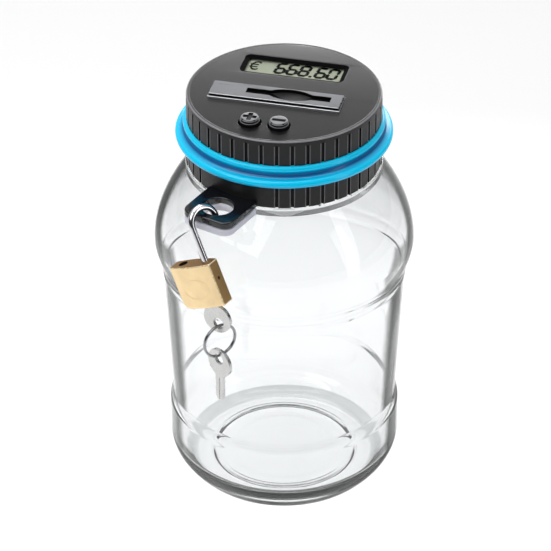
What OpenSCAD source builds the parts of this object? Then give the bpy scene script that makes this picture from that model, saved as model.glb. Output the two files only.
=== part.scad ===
// Digital coin bank: a clear jar under a black push-on lid that counts coins, with an open brass padlock.
// Millimetres, +Z up. The origin is on the jar's axis in the plane that it stands on, and -Y is the front.

/* [Jar] */
// Outer edge of the ring that the jar stands on, as a radius
foot_r = 45; // [40:0.5:48]
// Width of that ring, up to the groove inside it
foot_ring_w = 8; // [4:0.5:12]
// Radius of the band around the base
base_r = 56.2; // [52:0.1:60]
// Height at which the rounded bottom reaches the base band
base_curve_h = 19; // [12:0.5:26]
// Height of the top of the base band
base_band_z = 37; // [30:0.5:45]
// Height at which the plain panel starts
panel_low_z = 44; // [40:0.5:50]
// Radius of the plain panel at its foot
panel_low_r = 54.6; // [50:0.1:58]
// Radius of the plain panel at its top
panel_high_r = 58.3; // [54:0.1:61]
// Height of the top of the plain panel
panel_high_z = 112; // [100:0.5:120]
// Largest radius, at the shoulder
shoulder_r = 62.4; // [58:0.1:68]
// Height of the largest radius
shoulder_z = 131; // [124:0.5:140]
// Wall thickness
jar_wall = 2.2; // [1.5:0.1:3.5]
// Thickness of the floor
floor_t = 5.5; // [3:0.1:8]
// Gap between the neck and the lid's skirt
neck_gap = 2.6; // [1.5:0.1:4]
// Reach of the flange beyond the lid's skirt
flange_out = 1; // [0.5:0.1:3]
// Height of the underside of the flange
flange_z = 169.8; // [166:0.1:174]
// Thickness of the flange and of the clear lug
flange_t = 3.6; // [2:0.1:4]

/* [Lid] */
// Height of the lid
lid_h = 36; // [34:0.1:40]
// Radius of the skirt
lid_r = 46; // [44.5:0.1:48]
// Width and height of the chamfer around the top face
lid_edge = 1; // [0.5:0.1:1.5]
// Thickness of the lid's top
lid_top_t = 2.6; // [2:0.1:3]
// Thickness of the skirt
skirt_t = 2.4; // [1.8:0.1:2.6]
// Thickness of the seal between the jar's rim and the lid
gasket_t = 1.9; // [1:0.1:3]
// Gap between the skirt and the jar's flange
lid_gap = 0.3; // [0.2:0.05:1]
// Number of grip grooves around the skirt
grip_count = 40; // [24:1:60]
// Width of a grip groove
grip_w = 1.5; // [1:0.1:2.5]
// Depth of a grip groove
grip_depth = 0.7; // [0.4:0.1:1]

/* [Blue ring] */
// Height of the ring's lower edge above the lid's
ring_up = 13.4; // [10:0.1:16]
// Height of the ring
ring_h = 9.6; // [8.5:0.1:12]
// Reach of the ring beyond the skirt
ring_out = 5.4; // [3:0.1:8]
// Reach of the ring's upper bead beyond the skirt
bead_out = 1.8; // [0.5:0.1:2.5]

/* [Display] */
// Sideways place of the display's middle
display_x = -0.2; // [-5:0.1:5]
// Front to back place of the display's middle
display_y = 21.9; // [18:0.1:24]
// Width of the display window
display_w = 50.4; // [40:0.1:52]
// Depth of the display window, front to back
display_h = 16.8; // [12:0.1:18]
// Thickness of the lid's top around the window
window_t = 1.1; // [0.8:0.1:1.6]
// Slope of the window's walls, from the top face to the lens
window_slope = 2.2; // [0.5:0.1:3]
// Number of digits shown
digit_count = 5; // [3:1:5]

/* [Coin slot] */
// Sideways place of the plate's middle
plate_x = -2.3; // [-6:0.1:4]
// Front to back place of the plate's middle
plate_y = -6.65; // [-10:0.05:-5]
// Length of the plate
plate_l = 63.3; // [56:0.1:68]
// Width of the plate
plate_w = 13.7; // [12:0.1:16]
// Height of the plate above the lid
plate_t = 1.7; // [1:0.1:3]
// Sideways place of the slot's middle
slot_x = 3.45; // [0:0.05:5]
// Front to back place of the slot
slot_y = -5.8; // [-8:0.05:-4]
// Length of the slot
slot_l = 40.3; // [30:0.1:41]
// Width of the slot
slot_w = 4.4; // [4.2:0.1:5]
// Length of the finger dish across the slot
dish_l = 26; // [16:0.1:30]
// Half width of the finger dish
dish_r = 4.9; // [3:0.1:5]
// Length of the coin arm from its pivot to its tip
arm_l = 19; // [12:0.5:20]
// Slant of the resting coin arm from straight down
arm_slant = 62; // [40:1:70]

/* [Buttons] */
// Sideways place of the plus button
plus_x = -9; // [-14:0.1:-7]
// Sideways place of the minus button
minus_x = 4.8; // [3:0.1:10]
// Front to back place of both buttons
button_y = -31; // [-33:0.1:-28]
// Diameter of a button
button_d = 9.2; // [7:0.1:10]
// Gap around a button
button_gap = 0.85; // [0.4:0.05:1]
// Height of a button above the lid
button_rise = 3; // [2:0.1:5]
// Travel of a button
button_travel = 1.2; // [0.8:0.1:1.2]

/* [Lug] */
// Turn of the lugs from the front, toward the left
lug_side_turn = 18.7; // [0:0.1:30]
// Width of the lugs
lug_w = 26; // [22:0.5:30]
// Reach of the lugs beyond the skirt
lug_out = 23.5; // [21:0.1:23.5]
// Corner radius of the lugs
lug_corner = 5; // [2:0.5:7]
// Thickness of the lid's lug
lug_t = 3.4; // [2.5:0.1:4]
// Distance of the hole's middle from the lugs' outer edge
lug_hole_in = 11.7; // [11.4:0.1:12.4]
// Diameter of the hole
lug_hole_d = 14.8; // [14:0.1:15]

/* [Padlock] */
// Diameter of the shackle's wire
wire_d = 3.3; // [2.8:0.1:3.4]
// Distance between the shackle's legs
leg_gap = 13.5; // [13.3:0.1:13.8]
// Turn of the shackle from the lugs' direction
shackle_skew = 20; // [0:1:25]
// Lean of the hanging padlock from upright
hang_tilt = 23.5; // [12:0.5:24]
// Sideways place of the hanging point across the lugs
hang_side = -2.9; // [-3.2:0.1:-2.4]
// Gap between the lug and the underside of the shackle's bend
hang_gap = 1.6; // [1.1:0.05:2]
// Length of the long leg that shows above the body
leg_out = 17.4; // [16:0.1:20]
// Length of the long leg inside the open body
leg_in = 5; // [3:0.1:5.5]
// Length of the free leg below the bend
toe_l = 9; // [7.5:0.1:9.2]
// Depth of the free leg in the closed body
toe_in = 4; // [3:0.1:4.2]
// Width of the body
body_w = 24; // [22:0.1:25]
// Distance of the long leg from the body's end
leg_end = 4.25; // [4:0.05:4.6]
// Height of the body
body_h = 21.7; // [20.5:0.1:24]
// Thickness of the body in the middle
body_t = 9.4; // [8.8:0.1:9.6]
// Thickness of the body at its ends
body_end_t = 6.6; // [5.5:0.1:8]
// Diameter of the lock plug
plug_d = 6.2; // [6:0.1:6.4]

/* [Keys] */
// Diameter of a key's bow
bow_d = 14.6; // [12:0.1:16]
// Diameter of the hole in a bow
bow_hole_d = 5.4; // [5.2:0.1:5.8]
// Distance of that hole from the middle of the bow
bow_hole_off = 2.4; // [1.5:0.1:3]
// Thickness of a key
key_t = 1.8; // [1.4:0.1:1.8]
// Width of a key's blade
blade_w = 4.8; // [4:0.1:5]
// Length of a key's blade
blade_l = 13.5; // [10:0.1:14]
// Outer diameter of the key ring
key_ring_d = 18; // [17:0.1:22]
// Diameter of the key ring's wire
key_ring_wire = 1.05; // [0.8:0.05:1.1]

/* [Hidden] */
$fn = 64;
// Running clearance of a shaft in its bore, as a radius
fit = 0.05;
// Gap around a sliding or swinging flat piece
slide_gap = 0.4;

// Levels and radii of the lid and of the neck inside it
lid_low_z = flange_z + flange_t + lid_gap;
lid_top_z = lid_low_z + lid_h;
lid_under_z = lid_top_z - lid_top_t;
lid_top_r = lid_r - lid_edge;
skirt_in_r = lid_r - skirt_t;
neck_r = skirt_in_r - neck_gap;
neck_in_r = neck_r - jar_wall;
flange_r = lid_r + flange_out;
ring_low_z = lid_low_z + ring_up;
ring_high_z = ring_low_z + ring_h;
ring_r = lid_r + ring_out;
bead_r = lid_r + bead_out;
lug_reach = lid_r + lug_out;
lug_hole_reach = lug_reach - lug_hole_in;
// Depth of the seat of the blue ring in the skirt
ring_seat = 0.9;

// Levels inside the lid, from the top down
lens_t = 1;
lens_z = lid_top_z - window_t - lens_t;
lens_lip = 1.3;
lcd_t = 1.7;
segment_t = 0.1;
lcd_z = lens_z - 2 * segment_t - lcd_t;
board_t = 1.6;
board_depth = 8.6;
board_z = lid_top_z - board_depth;
connector_t = lcd_z - board_z - board_t;
tray_flange_t = 2;
tray_flange_z = board_z - tray_flange_t;
rim_z = tray_flange_z - gasket_t;
tray_depth = 16.1;
tray_z = tray_flange_z - tray_depth;
tray_wall = 1.8;
tray_r = neck_in_r - 1.2;
board_r = skirt_in_r - 6.6;
connector_l = display_w - 11.2;
connector_w = 1.8;
chip_w = 8;
chip_h = 1.2;

// Screws that hold the tray to bosses under the lid's top
screw_angles = [8, 172, 228, 312];
screw_reach = skirt_in_r - 3.1;
boss_r = 2.4;
screw_r = 1;
screw_head_r = 2;
screw_head_h = 1.4;
screw_bite = 3.5;

// Coin chute under the slot
chute_wall = 1.4;
chute_low_x = slot_x - slot_l / 2 - 1;
chute_high_x = 33;
chute_block_z = board_z + board_t + 0.5;
chute_half_w = slot_w / 2 + chute_wall;
arm_t = 3;
arm_hub_r = 2.3;
arm_bar_w = 2.4;
arm_tip_r = 1.7;
arm_pin_r = 1;
arm_x = 29.4;
arm_drop = 3.6;
arm_z = board_z - arm_drop;

// Battery bay
cell_d = 10.3;
cell_l = 44.5;
cell_z = tray_z + tray_wall + cell_d / 2 + 0.5;
cell_ys = [8.9, 19.8];
contact_t = 0.5;
contact_h = 8;
contact_w = cell_ys[1] - cell_ys[0] + 7;
bay_x = cell_l / 2 + 2.6;
bay_wall_y = 2;
cover_t = tray_wall;
cover_x = 23.4;
cover_low_y = 5;
cover_hinge_y = 23.6;
hinge_z = tray_z + cover_t / 2;
hinge_pin_r = 0.5;
hinge_pin_l = 1.6;

// Button sizes
button_flange_t = 1;
button_flange_r = button_d / 2 + button_gap + 0.9;
button_low_z = lid_under_z - 0.2 - button_flange_t;
switch_z = board_z + board_t;
switch_h = button_low_z - button_travel - 0.1 - switch_z;

// Lug and hanging padlock: along the lug is X, the hinge of the swing is on the underside of the bend
lug_turn = -90 - lug_side_turn;
lug_z = lid_low_z;
wire_r = wire_d / 2;
bend_r = leg_gap / 2;
bend_in_r = bend_r - wire_r;
// The body's inner face passes this far outside the clear lug when the lid is lifted
lift_gap = 0.4;
leg_reach = lug_reach + lift_gap + body_t / 2;
leg_x = bend_r * cos(shackle_skew);
leg_y = -bend_r * sin(shackle_skew);
hang_reach = leg_reach - leg_x;
hang_z = lug_z + lug_t + hang_gap;
body_z = -bend_in_r - leg_out;
shackle_travel = leg_out - (toe_l - toe_in);
leg_bore_depth = leg_in + shackle_travel + 1.6;
plug_y = -5.8;
plug_l = blade_l + 0.7;
bolt_h = 2.2;
bolt_z = -1.4 - bolt_h;
bolt_t = 2.4;
bolt_l = 4.6;
bolt_throw = 1.6;
side_pin_r = 0.9;
side_pin_drop = 8.6;
toe_hole_r = wire_r + 0.25;
bow_r = bow_d / 2;
bow_drop = bow_r + 0.2;
bow_hole_r = bow_hole_d / 2;

// Key ring and spare key hang straight down from the hole of the key in the lock
key_ring_r = key_ring_d / 2 - key_ring_wire / 2;
key_ring_turn = -25;
spare_turn = -13;
rest_gap = 0.6;
// Two turns of wire lie side by side, and bite a little into each other
coil_step = key_ring_wire * 0.9;
ring_play = bow_hole_r - key_ring_wire / 2 - rest_gap;

// A point of the hanging padlock, seen in the lug's frame
function hang_point(p) = [
    hang_reach + p[0],
    hang_side + p[1] * cos(hang_tilt) - p[2] * sin(hang_tilt),
    hang_z + p[1] * sin(hang_tilt) + p[2] * cos(hang_tilt)
];

bow_hole_at = hang_point([leg_x, leg_y + plug_y, body_z - body_h - bow_drop - bow_hole_off]);
key_ring_top = bow_hole_at - [0, 0, ring_play];
key_ring_mid = key_ring_top - [0, 0, key_ring_r];
key_ring_low = key_ring_mid - [0, 0, key_ring_r];
spare_hole_at = key_ring_low - [0, 0, ring_play];

// Points of an arc with its middle at c, from angle a to angle b
function arc(c, r, a, b, n) = [for (i = [0:n]) c + r * [cos(a + (b - a) * i / n), sin(a + (b - a) * i / n)]];

// Profile points that leave a full radius upright and run to an end point along a power curve
function bow_curve(full, end, power, n) = [
    for (i = [0:n])
        let (t = i / n)
            [full[0] + (end[0] - full[0]) * pow(t, power), full[1] + (end[1] - full[1]) * t]
];

// Profile points that leave one point upright and reach the next one upright
function ease_curve(low, high, n) = [
    for (i = [0:n])
        let (t = i / n)
            [low[0] + (high[0] - low[0]) * (1 - cos(180 * t)) / 2, low[1] + (high[1] - low[1]) * t]
];

function reversed(list) = [for (i = [len(list) - 1:-1:0]) list[i]];

// The jar's side from the foot curve to the shoulder, moved in by a thickness
function jar_side(inset, foot, neck) = concat(
    reversed(bow_curve([base_r - inset, base_curve_h], foot, 1.9, 10)),
    ease_curve([base_r - inset, base_band_z], [panel_low_r - inset, panel_low_z], 6),
    ease_curve([panel_high_r - inset, panel_high_z], [shoulder_r - inset, shoulder_z], 8),
    bow_curve([shoulder_r - inset, shoulder_z], neck, 1.84, 12)
);

module at_lug() {
    rotate([0, 0, lug_turn]) children();
}

// Frame of the hanging padlock, with its origin on the underside of the bend
module at_shackle() {
    at_lug() translate([hang_reach, hang_side, hang_z]) rotate([hang_tilt, 0, 0]) children();
}

// Frame of the padlock's body, with its origin on the long leg in the body's top face
module at_body() {
    at_shackle() translate([leg_x, leg_y, body_z]) children();
}

module rounded_plate(w, h, r) {
    square([w - 2 * r, h], center = true);
    square([w, h - 2 * r], center = true);
    for (x = [-1, 1], y = [-1, 1])
        translate([x * (w / 2 - r), y * (h / 2 - r)]) circle(r);
}

// Outline of a lug, from the jar's neck to its rounded outer corners, with its hole
module lug_outline(root_r) {
    difference() {
        translate([(root_r + lug_reach) / 2, 0]) {
            rounded_plate(lug_reach - root_r, lug_w, lug_corner);
            translate([-lug_corner, 0]) square([lug_reach - root_r - 2 * lug_corner, lug_w], center = true);
        }
        translate([lug_hole_reach, 0]) circle(lug_hole_d / 2);
    }
}

// Coil of round wire around Z
module coil(mean_r, coil_wire_r, turns, height) {
    steps = ceil(turns * 12);
    sides = 6;
    points = [
        for (i = [0:steps], j = [0:sides - 1])
            let (a = 360 * turns * i / steps, b = 360 * j / sides)
                [
                    (mean_r + coil_wire_r * cos(b)) * cos(a),
                    (mean_r + coil_wire_r * cos(b)) * sin(a),
                    coil_wire_r + (height - 2 * coil_wire_r) * i / steps + coil_wire_r * sin(b)
                ]
    ];
    walls = [
        for (i = [0:steps - 1], j = [0:sides - 1], half = [0, 1])
            let (k = (j + 1) % sides, low = i * sides, high = (i + 1) * sides)
                half == 0 ? [low + j, low + k, high + k] : [low + j, high + k, high + j]
    ];
    start = [for (j = [sides - 1:-1:0]) j];
    end = [for (j = [0:sides - 1]) steps * sides + j];
    polyhedron(points = points, faces = concat(walls, [start], [end]));
}

module jar() {
    neck_root = [flange_r - 0.6, flange_z];
    outside = concat(
        jar_side(0, [foot_r, 0], neck_root),
        [[flange_r, flange_z], [flange_r, flange_z + flange_t], [neck_r, flange_z + flange_t]],
        [[neck_r, rim_z - 0.6], [neck_r - 0.6, rim_z]]
    );
    inside = concat(
        [[0, floor_t]],
        jar_side(jar_wall, [foot_r - 3, floor_t], [neck_in_r, flange_z]),
        [[neck_in_r, rim_z - 0.6], [neck_in_r + 0.6, rim_z]]
    );
    groove_r = foot_r - foot_ring_w;
    groove = [[groove_r, 0], [groove_r - 0.8, 1.2], [groove_r - 1.8, 1.2], [groove_r - 2.6, 0], [0, 0]];
    color([0.86, 0.93, 0.94, 0.3]) {
        rotate_extrude() polygon(concat(outside, reversed(inside), reversed(groove)));
        at_lug() translate([0, 0, flange_z]) linear_extrude(flange_t) lug_outline(neck_r + 1);
    }
}

// Openings in the lid's top that the display, the chute and the buttons fill
module lid_openings() {
    cut_z = lid_under_z - 1;
    lens_room = 2 * (lens_lip + slide_gap);
    translate([display_x, display_y, 0]) {
        intersection() {
            rotate([90, 0, 0]) linear_extrude(display_h, center = true) window_section(display_w);
            rotate([90, 0, 90]) linear_extrude(display_w, center = true) window_section(display_h);
            translate([0, 0, cut_z]) linear_extrude(lid_top_t + 2) rounded_plate(display_w, display_h, 3);
        }
        translate([0, 0, cut_z]) linear_extrude(lid_top_z - window_t - cut_z)
            square([display_w + lens_room, display_h + lens_room], center = true);
    }
    translate([slot_x, slot_y, cut_z])
        linear_extrude(lid_top_t + 2) square([slot_l + 4.6, 2 * (dish_r + 0.3)], center = true);
    for (x = [plus_x, minus_x])
        translate([x, button_y, cut_z]) cylinder(h = lid_top_t + 2, r = button_d / 2 + button_gap);
}

// Cross-section of the window, with walls that lean in toward the display
module window_section(w) {
    low_z = lid_top_z - window_t;
    low_x = w / 2 - window_slope;
    polygon([
        [-w / 2, lid_top_z + 1], [-w / 2, lid_top_z], [-low_x, low_z], [-low_x, low_z - 1],
        [low_x, low_z - 1], [low_x, low_z], [w / 2, lid_top_z], [w / 2, lid_top_z + 1]
    ]);
}

// Grooves of one band of the grip, left out beside the lug where asked
module grip_grooves(low, high, skip) {
    pitch = 360 / grip_count;
    pad = asin(lug_w / 2 / lid_r) + pitch / 2;
    for (i = [0:grip_count - 1]) {
        a = i * pitch;
        off = abs((a - lug_turn + 540) % 360 - 180);
        if (!skip || off > pad)
            rotate([0, 0, a]) translate([lid_r, 0, (low + high) / 2])
                cube([2 * grip_depth, grip_w, high - low], center = true);
    }
}

module lid_shell() {
    seat_r = lid_r - ring_seat;
    profile = [
        [0, lid_top_z], [lid_top_r, lid_top_z], [lid_r, lid_top_z - lid_edge],
        [lid_r, ring_high_z], [seat_r, ring_high_z], [seat_r, ring_low_z], [lid_r, ring_low_z],
        [lid_r, lid_low_z + 0.5], [lid_r - 0.5, lid_low_z], [skirt_in_r, lid_low_z],
        [skirt_in_r, lid_under_z], [0, lid_under_z]
    ];
    color([0.06, 0.06, 0.07]) {
        difference() {
            rotate_extrude() polygon(profile);
            lid_openings();
            grip_grooves(ring_high_z - 1, lid_top_z - 2.2, false);
            grip_grooves(lid_low_z - 1, ring_low_z + 1, true);
        }
        at_lug() translate([0, 0, lug_z]) linear_extrude(lug_t) lug_outline(lid_r - 1.2);
        for (a = screw_angles)
            rotate([0, 0, a]) translate([screw_reach, 0, tray_flange_z + tray_flange_t]) difference() {
                cylinder(h = lid_under_z - board_z + 0.5, r = boss_r);
                translate([0, 0, -1]) cylinder(h = screw_bite + 1.5, r = screw_r + fit);
            }
    }
}

module accent_ring() {
    low_bead = 2;
    high_bead = 1.6;
    hollow_in = 0.9;
    hollow_up = 4.9;
    low = [ring_r - low_bead, ring_low_z + low_bead];
    high = [bead_r - high_bead, ring_high_z - high_bead];
    profile = concat(
        [[lid_r - ring_seat, ring_low_z]],
        arc(low, low_bead, -90, 75, 10),
        [[bead_r - hollow_in, ring_low_z + hollow_up]],
        arc(high, high_bead, -30, 90, 8),
        [[lid_r - ring_seat, ring_high_z]]
    );
    color([0.02, 0.5, 0.75]) rotate_extrude() polygon(profile);
}

module lid_gasket() {
    color([0.82, 0.82, 0.8]) translate([0, 0, rim_z]) difference() {
        cylinder(h = gasket_t, r = neck_r + 1.4);
        translate([0, 0, -1]) cylinder(h = gasket_t + 2, r = neck_in_r + 0.2);
    }
}

// The slot with the spindle-shaped finger dish across it
module slot_cut(low) {
    dish_big_r = (pow(dish_l / 2, 2) + pow(dish_r, 2)) / (2 * dish_r);
    dish_half = asin(dish_l / 2 / dish_big_r);
    translate([slot_x, slot_y, low]) linear_extrude(lid_top_z + plate_t + 1 - low)
        rounded_plate(slot_l, slot_w, slot_w / 2 - 0.05);
    translate([slot_x + 1, slot_y, lid_top_z + plate_t]) rotate([0, 90, 0]) rotate_extrude()
        polygon(arc([dish_r - dish_big_r, 0], dish_big_r, -dish_half, dish_half, 16));
}

module slot_plate() {
    top_z = lid_top_z + plate_t;
    front_slope = 1.3;
    end_slope = 0.6;
    color([0.5, 0.51, 0.53]) difference() {
        translate([plate_x, plate_y, 0]) intersection() {
            rotate([90, 0, 90]) linear_extrude(plate_l, center = true) polygon([
                [-plate_w / 2, lid_top_z], [-plate_w / 2 + front_slope, top_z],
                [plate_w / 2 - end_slope, top_z], [plate_w / 2, lid_top_z]
            ]);
            rotate([90, 0, 0]) linear_extrude(plate_w, center = true) polygon([
                [-plate_l / 2, lid_top_z], [-plate_l / 2 + end_slope, top_z],
                [plate_l / 2 - end_slope, top_z], [plate_l / 2, lid_top_z]
            ]);
        }
        slot_cut(lid_top_z - 1);
    }
}

// Black funnel under the plate, and the two walls that guide a coin down to the arm
module coin_chute() {
    block_l = slot_l + 4;
    wall_l = chute_high_x - chute_low_x;
    color([0.1, 0.1, 0.11]) difference() {
        union() {
            translate([slot_x - block_l / 2, slot_y - dish_r, chute_block_z])
                cube([block_l, 2 * dish_r, lid_top_z - chute_block_z]);
            translate([chute_low_x - chute_wall, slot_y - chute_half_w, tray_z])
                cube([wall_l + 2 * chute_wall, 2 * chute_half_w, lid_under_z - 0.4 - tray_z]);
        }
        slot_cut(chute_block_z - 1);
        translate([chute_low_x, slot_y - slot_w / 2, tray_z - 1])
            cube([wall_l, slot_w, chute_block_z + 0.5 - tray_z]);
        translate([arm_x, slot_y, arm_z]) rotate([90, 0, 0])
            cylinder(h = 4 * chute_half_w, r = arm_pin_r, center = true);
    }
}

module coin_arm() {
    color([0.75, 0.75, 0.72]) translate([arm_x, slot_y, arm_z]) rotate([90, 0, 0])
        linear_extrude(arm_t, center = true) difference() {
            union() {
                circle(arm_hub_r);
                rotate(-90 - arm_slant) {
                    translate([0, -arm_bar_w / 2]) square([arm_l, arm_bar_w]);
                    translate([arm_l, 0]) circle(arm_tip_r);
                }
            }
            circle(arm_pin_r + fit);
        }
}

module arm_pin() {
    color([0.7, 0.7, 0.72]) translate([arm_x, slot_y + chute_half_w, arm_z]) rotate([90, 0, 0])
        cylinder(h = 2 * chute_half_w + 4, r = arm_pin_r);
}

module arm_spring() {
    color([0.6, 0.6, 0.62]) translate([arm_x, slot_y - chute_half_w - 0.3, arm_z]) rotate([90, 0, 0])
        coil(1.6, 0.25, 5, 3.4);
}

module display_lens() {
    color([0.8, 0.85, 0.85, 0.25]) translate([display_x, display_y, lens_z])
        linear_extrude(lens_t) rounded_plate(display_w + 2 * lens_lip, display_h + 2 * lens_lip, 1);
}

module lcd_panel() {
    color([0.47, 0.5, 0.4]) translate([display_x, display_y, lcd_z + lcd_t / 2])
        cube([display_w + 0.8, display_h + 1, lcd_t], center = true);
}

// Bars of one seven-bar digit: middle, sides and ends, in the order of the letters a to g
module digit(on, w, h, bar) {
    for (i = [0:len(on) - 1])
        if (on[i] == 1)
            bar_of_digit(i, w, h, bar);
}

module bar_of_digit(i, w, h, bar) {
    places = [[0, h / 2], [w / 2, h / 4], [w / 2, -h / 4], [0, -h / 2], [-w / 2, -h / 4], [-w / 2, h / 4], [0, 0]];
    flat = i == 0 || i == 3 || i == 6;
    size = flat ? [w - bar * 1.1, bar] : [bar, h / 2 - bar * 0.3];
    translate(places[i]) square(size, center = true);
}

// A round C with two bars through it
module currency_sign(h, bar) {
    difference() {
        circle(h / 2);
        circle(h / 2 - bar);
        translate([h * 0.3, -h]) square([h, 2 * h]);
    }
    for (side = [-1, 1])
        translate([-h * 0.62, side * bar * 0.9 - bar / 2]) square([h * 0.72, bar]);
}

module lcd_segments() {
    zero = [1, 1, 1, 1, 1, 1, 0];
    six = [1, 0, 1, 1, 1, 1, 1];
    eight = [1, 1, 1, 1, 1, 1, 1];
    shown = [six, six, eight, six, zero];
    w = 4.1;
    h = 8.9;
    bar = 1.4;
    pitch = 5.7;
    point_gap = 2.4;
    right_margin = 4;
    lean = 0.12;
    point_after = digit_count - 3;
    left = display_x + display_w / 2 - right_margin - digit_count * pitch - point_gap;
    color([0.05, 0.06, 0.06]) translate([left, display_y, lcd_z + lcd_t])
        linear_extrude(segment_t) multmatrix([[1, lean, 0, 0], [0, 1, 0, 0], [0, 0, 1, 0], [0, 0, 0, 1]]) {
            for (i = [0:digit_count - 1])
                translate([(i + 0.5) * pitch + (i > point_after ? point_gap : 0), 0]) digit(shown[i], w, h, bar);
            translate([(point_after + 1) * pitch + point_gap / 2, -h / 2]) square([bar, bar], center = true);
            translate([-1.62 * pitch, 0]) currency_sign(h * 0.72, bar * 0.7);
        }
}

module lcd_connectors() {
    color([0.85, 0.6, 0.65]) for (side = [-1, 1])
        translate([display_x, display_y + side * (display_h / 2 - 1.6), board_z + board_t + connector_t / 2])
            cube([connector_l, connector_w, connector_t], center = true);
}

module circuit_board() {
    color([0.1, 0.35, 0.2]) translate([0, 0, board_z]) difference() {
        cylinder(h = board_t, r = board_r);
        translate([chute_low_x - 2, slot_y - chute_half_w - 0.4, -1])
            cube([chute_high_x + chute_wall + 2.4 - chute_low_x, 2 * chute_half_w + 0.8, board_t + 2]);
    }
}

module controller_chip() {
    color([0.08, 0.08, 0.09]) translate([-24, -20, board_z + board_t])
        cube([chip_w, chip_w, chip_h]);
}

module button_switches() {
    color([0.2, 0.2, 0.22]) for (x = [plus_x, minus_x])
        translate([x, button_y, switch_z]) {
            translate([-3, -3, 0]) cube([6, 6, switch_h - 0.3]);
            cylinder(h = switch_h, r = 1.6);
        }
}

// A push button with a retaining flange under the lid and a cut mark in its head
module push_button(x, upright) {
    top_z = lid_top_z + button_rise;
    mark_l = button_d * 0.64;
    mark_w = 1.9;
    mark_depth = 0.5;
    color([0.16, 0.16, 0.17]) translate([x, button_y, 0]) difference() {
        rotate_extrude() polygon([
            [0, button_low_z], [button_flange_r, button_low_z],
            [button_flange_r, button_low_z + button_flange_t], [button_d / 2, button_low_z + button_flange_t],
            [button_d / 2, top_z - 0.9], [button_d / 2 - 0.3, top_z - 0.3], [button_d / 2 - 1, top_z], [0, top_z]
        ]);
        translate([0, 0, top_z]) {
            cube([mark_l, mark_w, 2 * mark_depth], center = true);
            if (upright) cube([mark_w, mark_l, 2 * mark_depth], center = true);
        }
    }
}

module plus_button() {
    push_button(plus_x, true);
}

module minus_button() {
    push_button(minus_x, false);
}

// Cup under the lid that holds the batteries, with a flange that the screws pull against the bosses
module lid_tray() {
    top_z = tray_flange_z + tray_flange_t;
    in_r = tray_r - tray_wall;
    color([0.12, 0.12, 0.13]) difference() {
        union() {
            rotate_extrude() polygon([
                [0, tray_z], [tray_r, tray_z], [tray_r, tray_flange_z], [skirt_in_r - 0.3, tray_flange_z],
                [skirt_in_r - 0.3, top_z], [in_r, top_z], [in_r, tray_z + tray_wall], [0, tray_z + tray_wall]
            ]);
            translate([-bay_x, bay_wall_y - 1.2, tray_z]) cube([2 * bay_x, 1.2, cell_d + 3]);
            for (side = [-1, 1])
                translate([side * (bay_x + 0.6) - 0.6, bay_wall_y - 1.2, tray_z])
                    cube([1.2, cover_hinge_y + 1.8 - bay_wall_y, cell_d + 3]);
        }
        translate([chute_low_x - chute_wall - slide_gap, slot_y - chute_half_w - slide_gap, tray_z - 1])
            cube([
                chute_high_x - chute_low_x + 2 * (chute_wall + slide_gap),
                2 * (chute_half_w + slide_gap), tray_wall + 2
            ]);
        translate([-cover_x - slide_gap, cover_low_y - slide_gap, tray_z - 1])
            cube([2 * (cover_x + slide_gap), cover_hinge_y + cover_t / 2 + 2 * slide_gap - cover_low_y, tray_wall + 2]);
        translate([0, cover_hinge_y, hinge_z]) rotate([0, 90, 0])
            cylinder(h = 2 * (cover_x + hinge_pin_l + slide_gap), r = hinge_pin_r + fit, center = true);
        for (a = screw_angles)
            rotate([0, 0, a]) translate([screw_reach, 0, tray_flange_z - 1]) {
                cylinder(h = tray_flange_t + 2, r = screw_r + fit);
                cylinder(h = screw_head_h + 1, r = screw_head_r + fit);
            }
    }
}

module tray_screws() {
    color([0.72, 0.72, 0.74]) for (a = screw_angles)
        rotate([0, 0, a]) translate([screw_reach, 0, tray_flange_z]) difference() {
            union() {
                cylinder(h = screw_head_h, r = screw_head_r);
                cylinder(h = tray_flange_t + screw_bite, r = screw_r);
            }
            cube([2 * screw_head_r, 0.7, 1], center = true);
        }
}

// Flap in the tray's floor, with a round edge and two pins that it turns on
module battery_cover() {
    color([0.14, 0.14, 0.15]) {
        translate([-cover_x, cover_low_y, tray_z])
            cube([2 * cover_x, cover_hinge_y - cover_low_y, cover_t]);
        translate([0, cover_hinge_y, hinge_z]) rotate([0, 90, 0]) {
            cylinder(h = 2 * cover_x, r = cover_t / 2, center = true);
            cylinder(h = 2 * (cover_x + hinge_pin_l), r = hinge_pin_r, center = true);
        }
    }
}

// An AAA cell along X, with its plus end on the side given
module cell(y, side, tint) {
    nub_l = 1;
    color(tint) translate([0, y, cell_z]) rotate([0, 90 * side, 0]) {
        translate([0, 0, -cell_l / 2]) cylinder(h = cell_l - nub_l, r = cell_d / 2);
        translate([0, 0, cell_l / 2 - nub_l]) cylinder(h = nub_l, r = 1.9);
    }
}

module front_battery() {
    cell(cell_ys[0], 1, [0.25, 0.45, 0.3]);
}

module rear_battery() {
    cell(cell_ys[1], -1, [0.25, 0.45, 0.3]);
}

module battery_plates() {
    color([0.8, 0.8, 0.82]) for (side = [-1, 1])
        translate([side * (bay_x - contact_t / 2), (cell_ys[0] + cell_ys[1]) / 2, cell_z])
            cube([contact_t, contact_w, contact_h], center = true);
}

module battery_springs() {
    gap = bay_x - contact_t - cell_l / 2;
    color([0.78, 0.78, 0.8]) {
        translate([-cell_l / 2 - gap, cell_ys[0], cell_z]) rotate([0, 90, 0]) coil(2.6, 0.3, 2, gap);
        translate([cell_l / 2, cell_ys[1], cell_z]) rotate([0, 90, 0]) coil(2.6, 0.3, 2, gap);
    }
}

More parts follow.
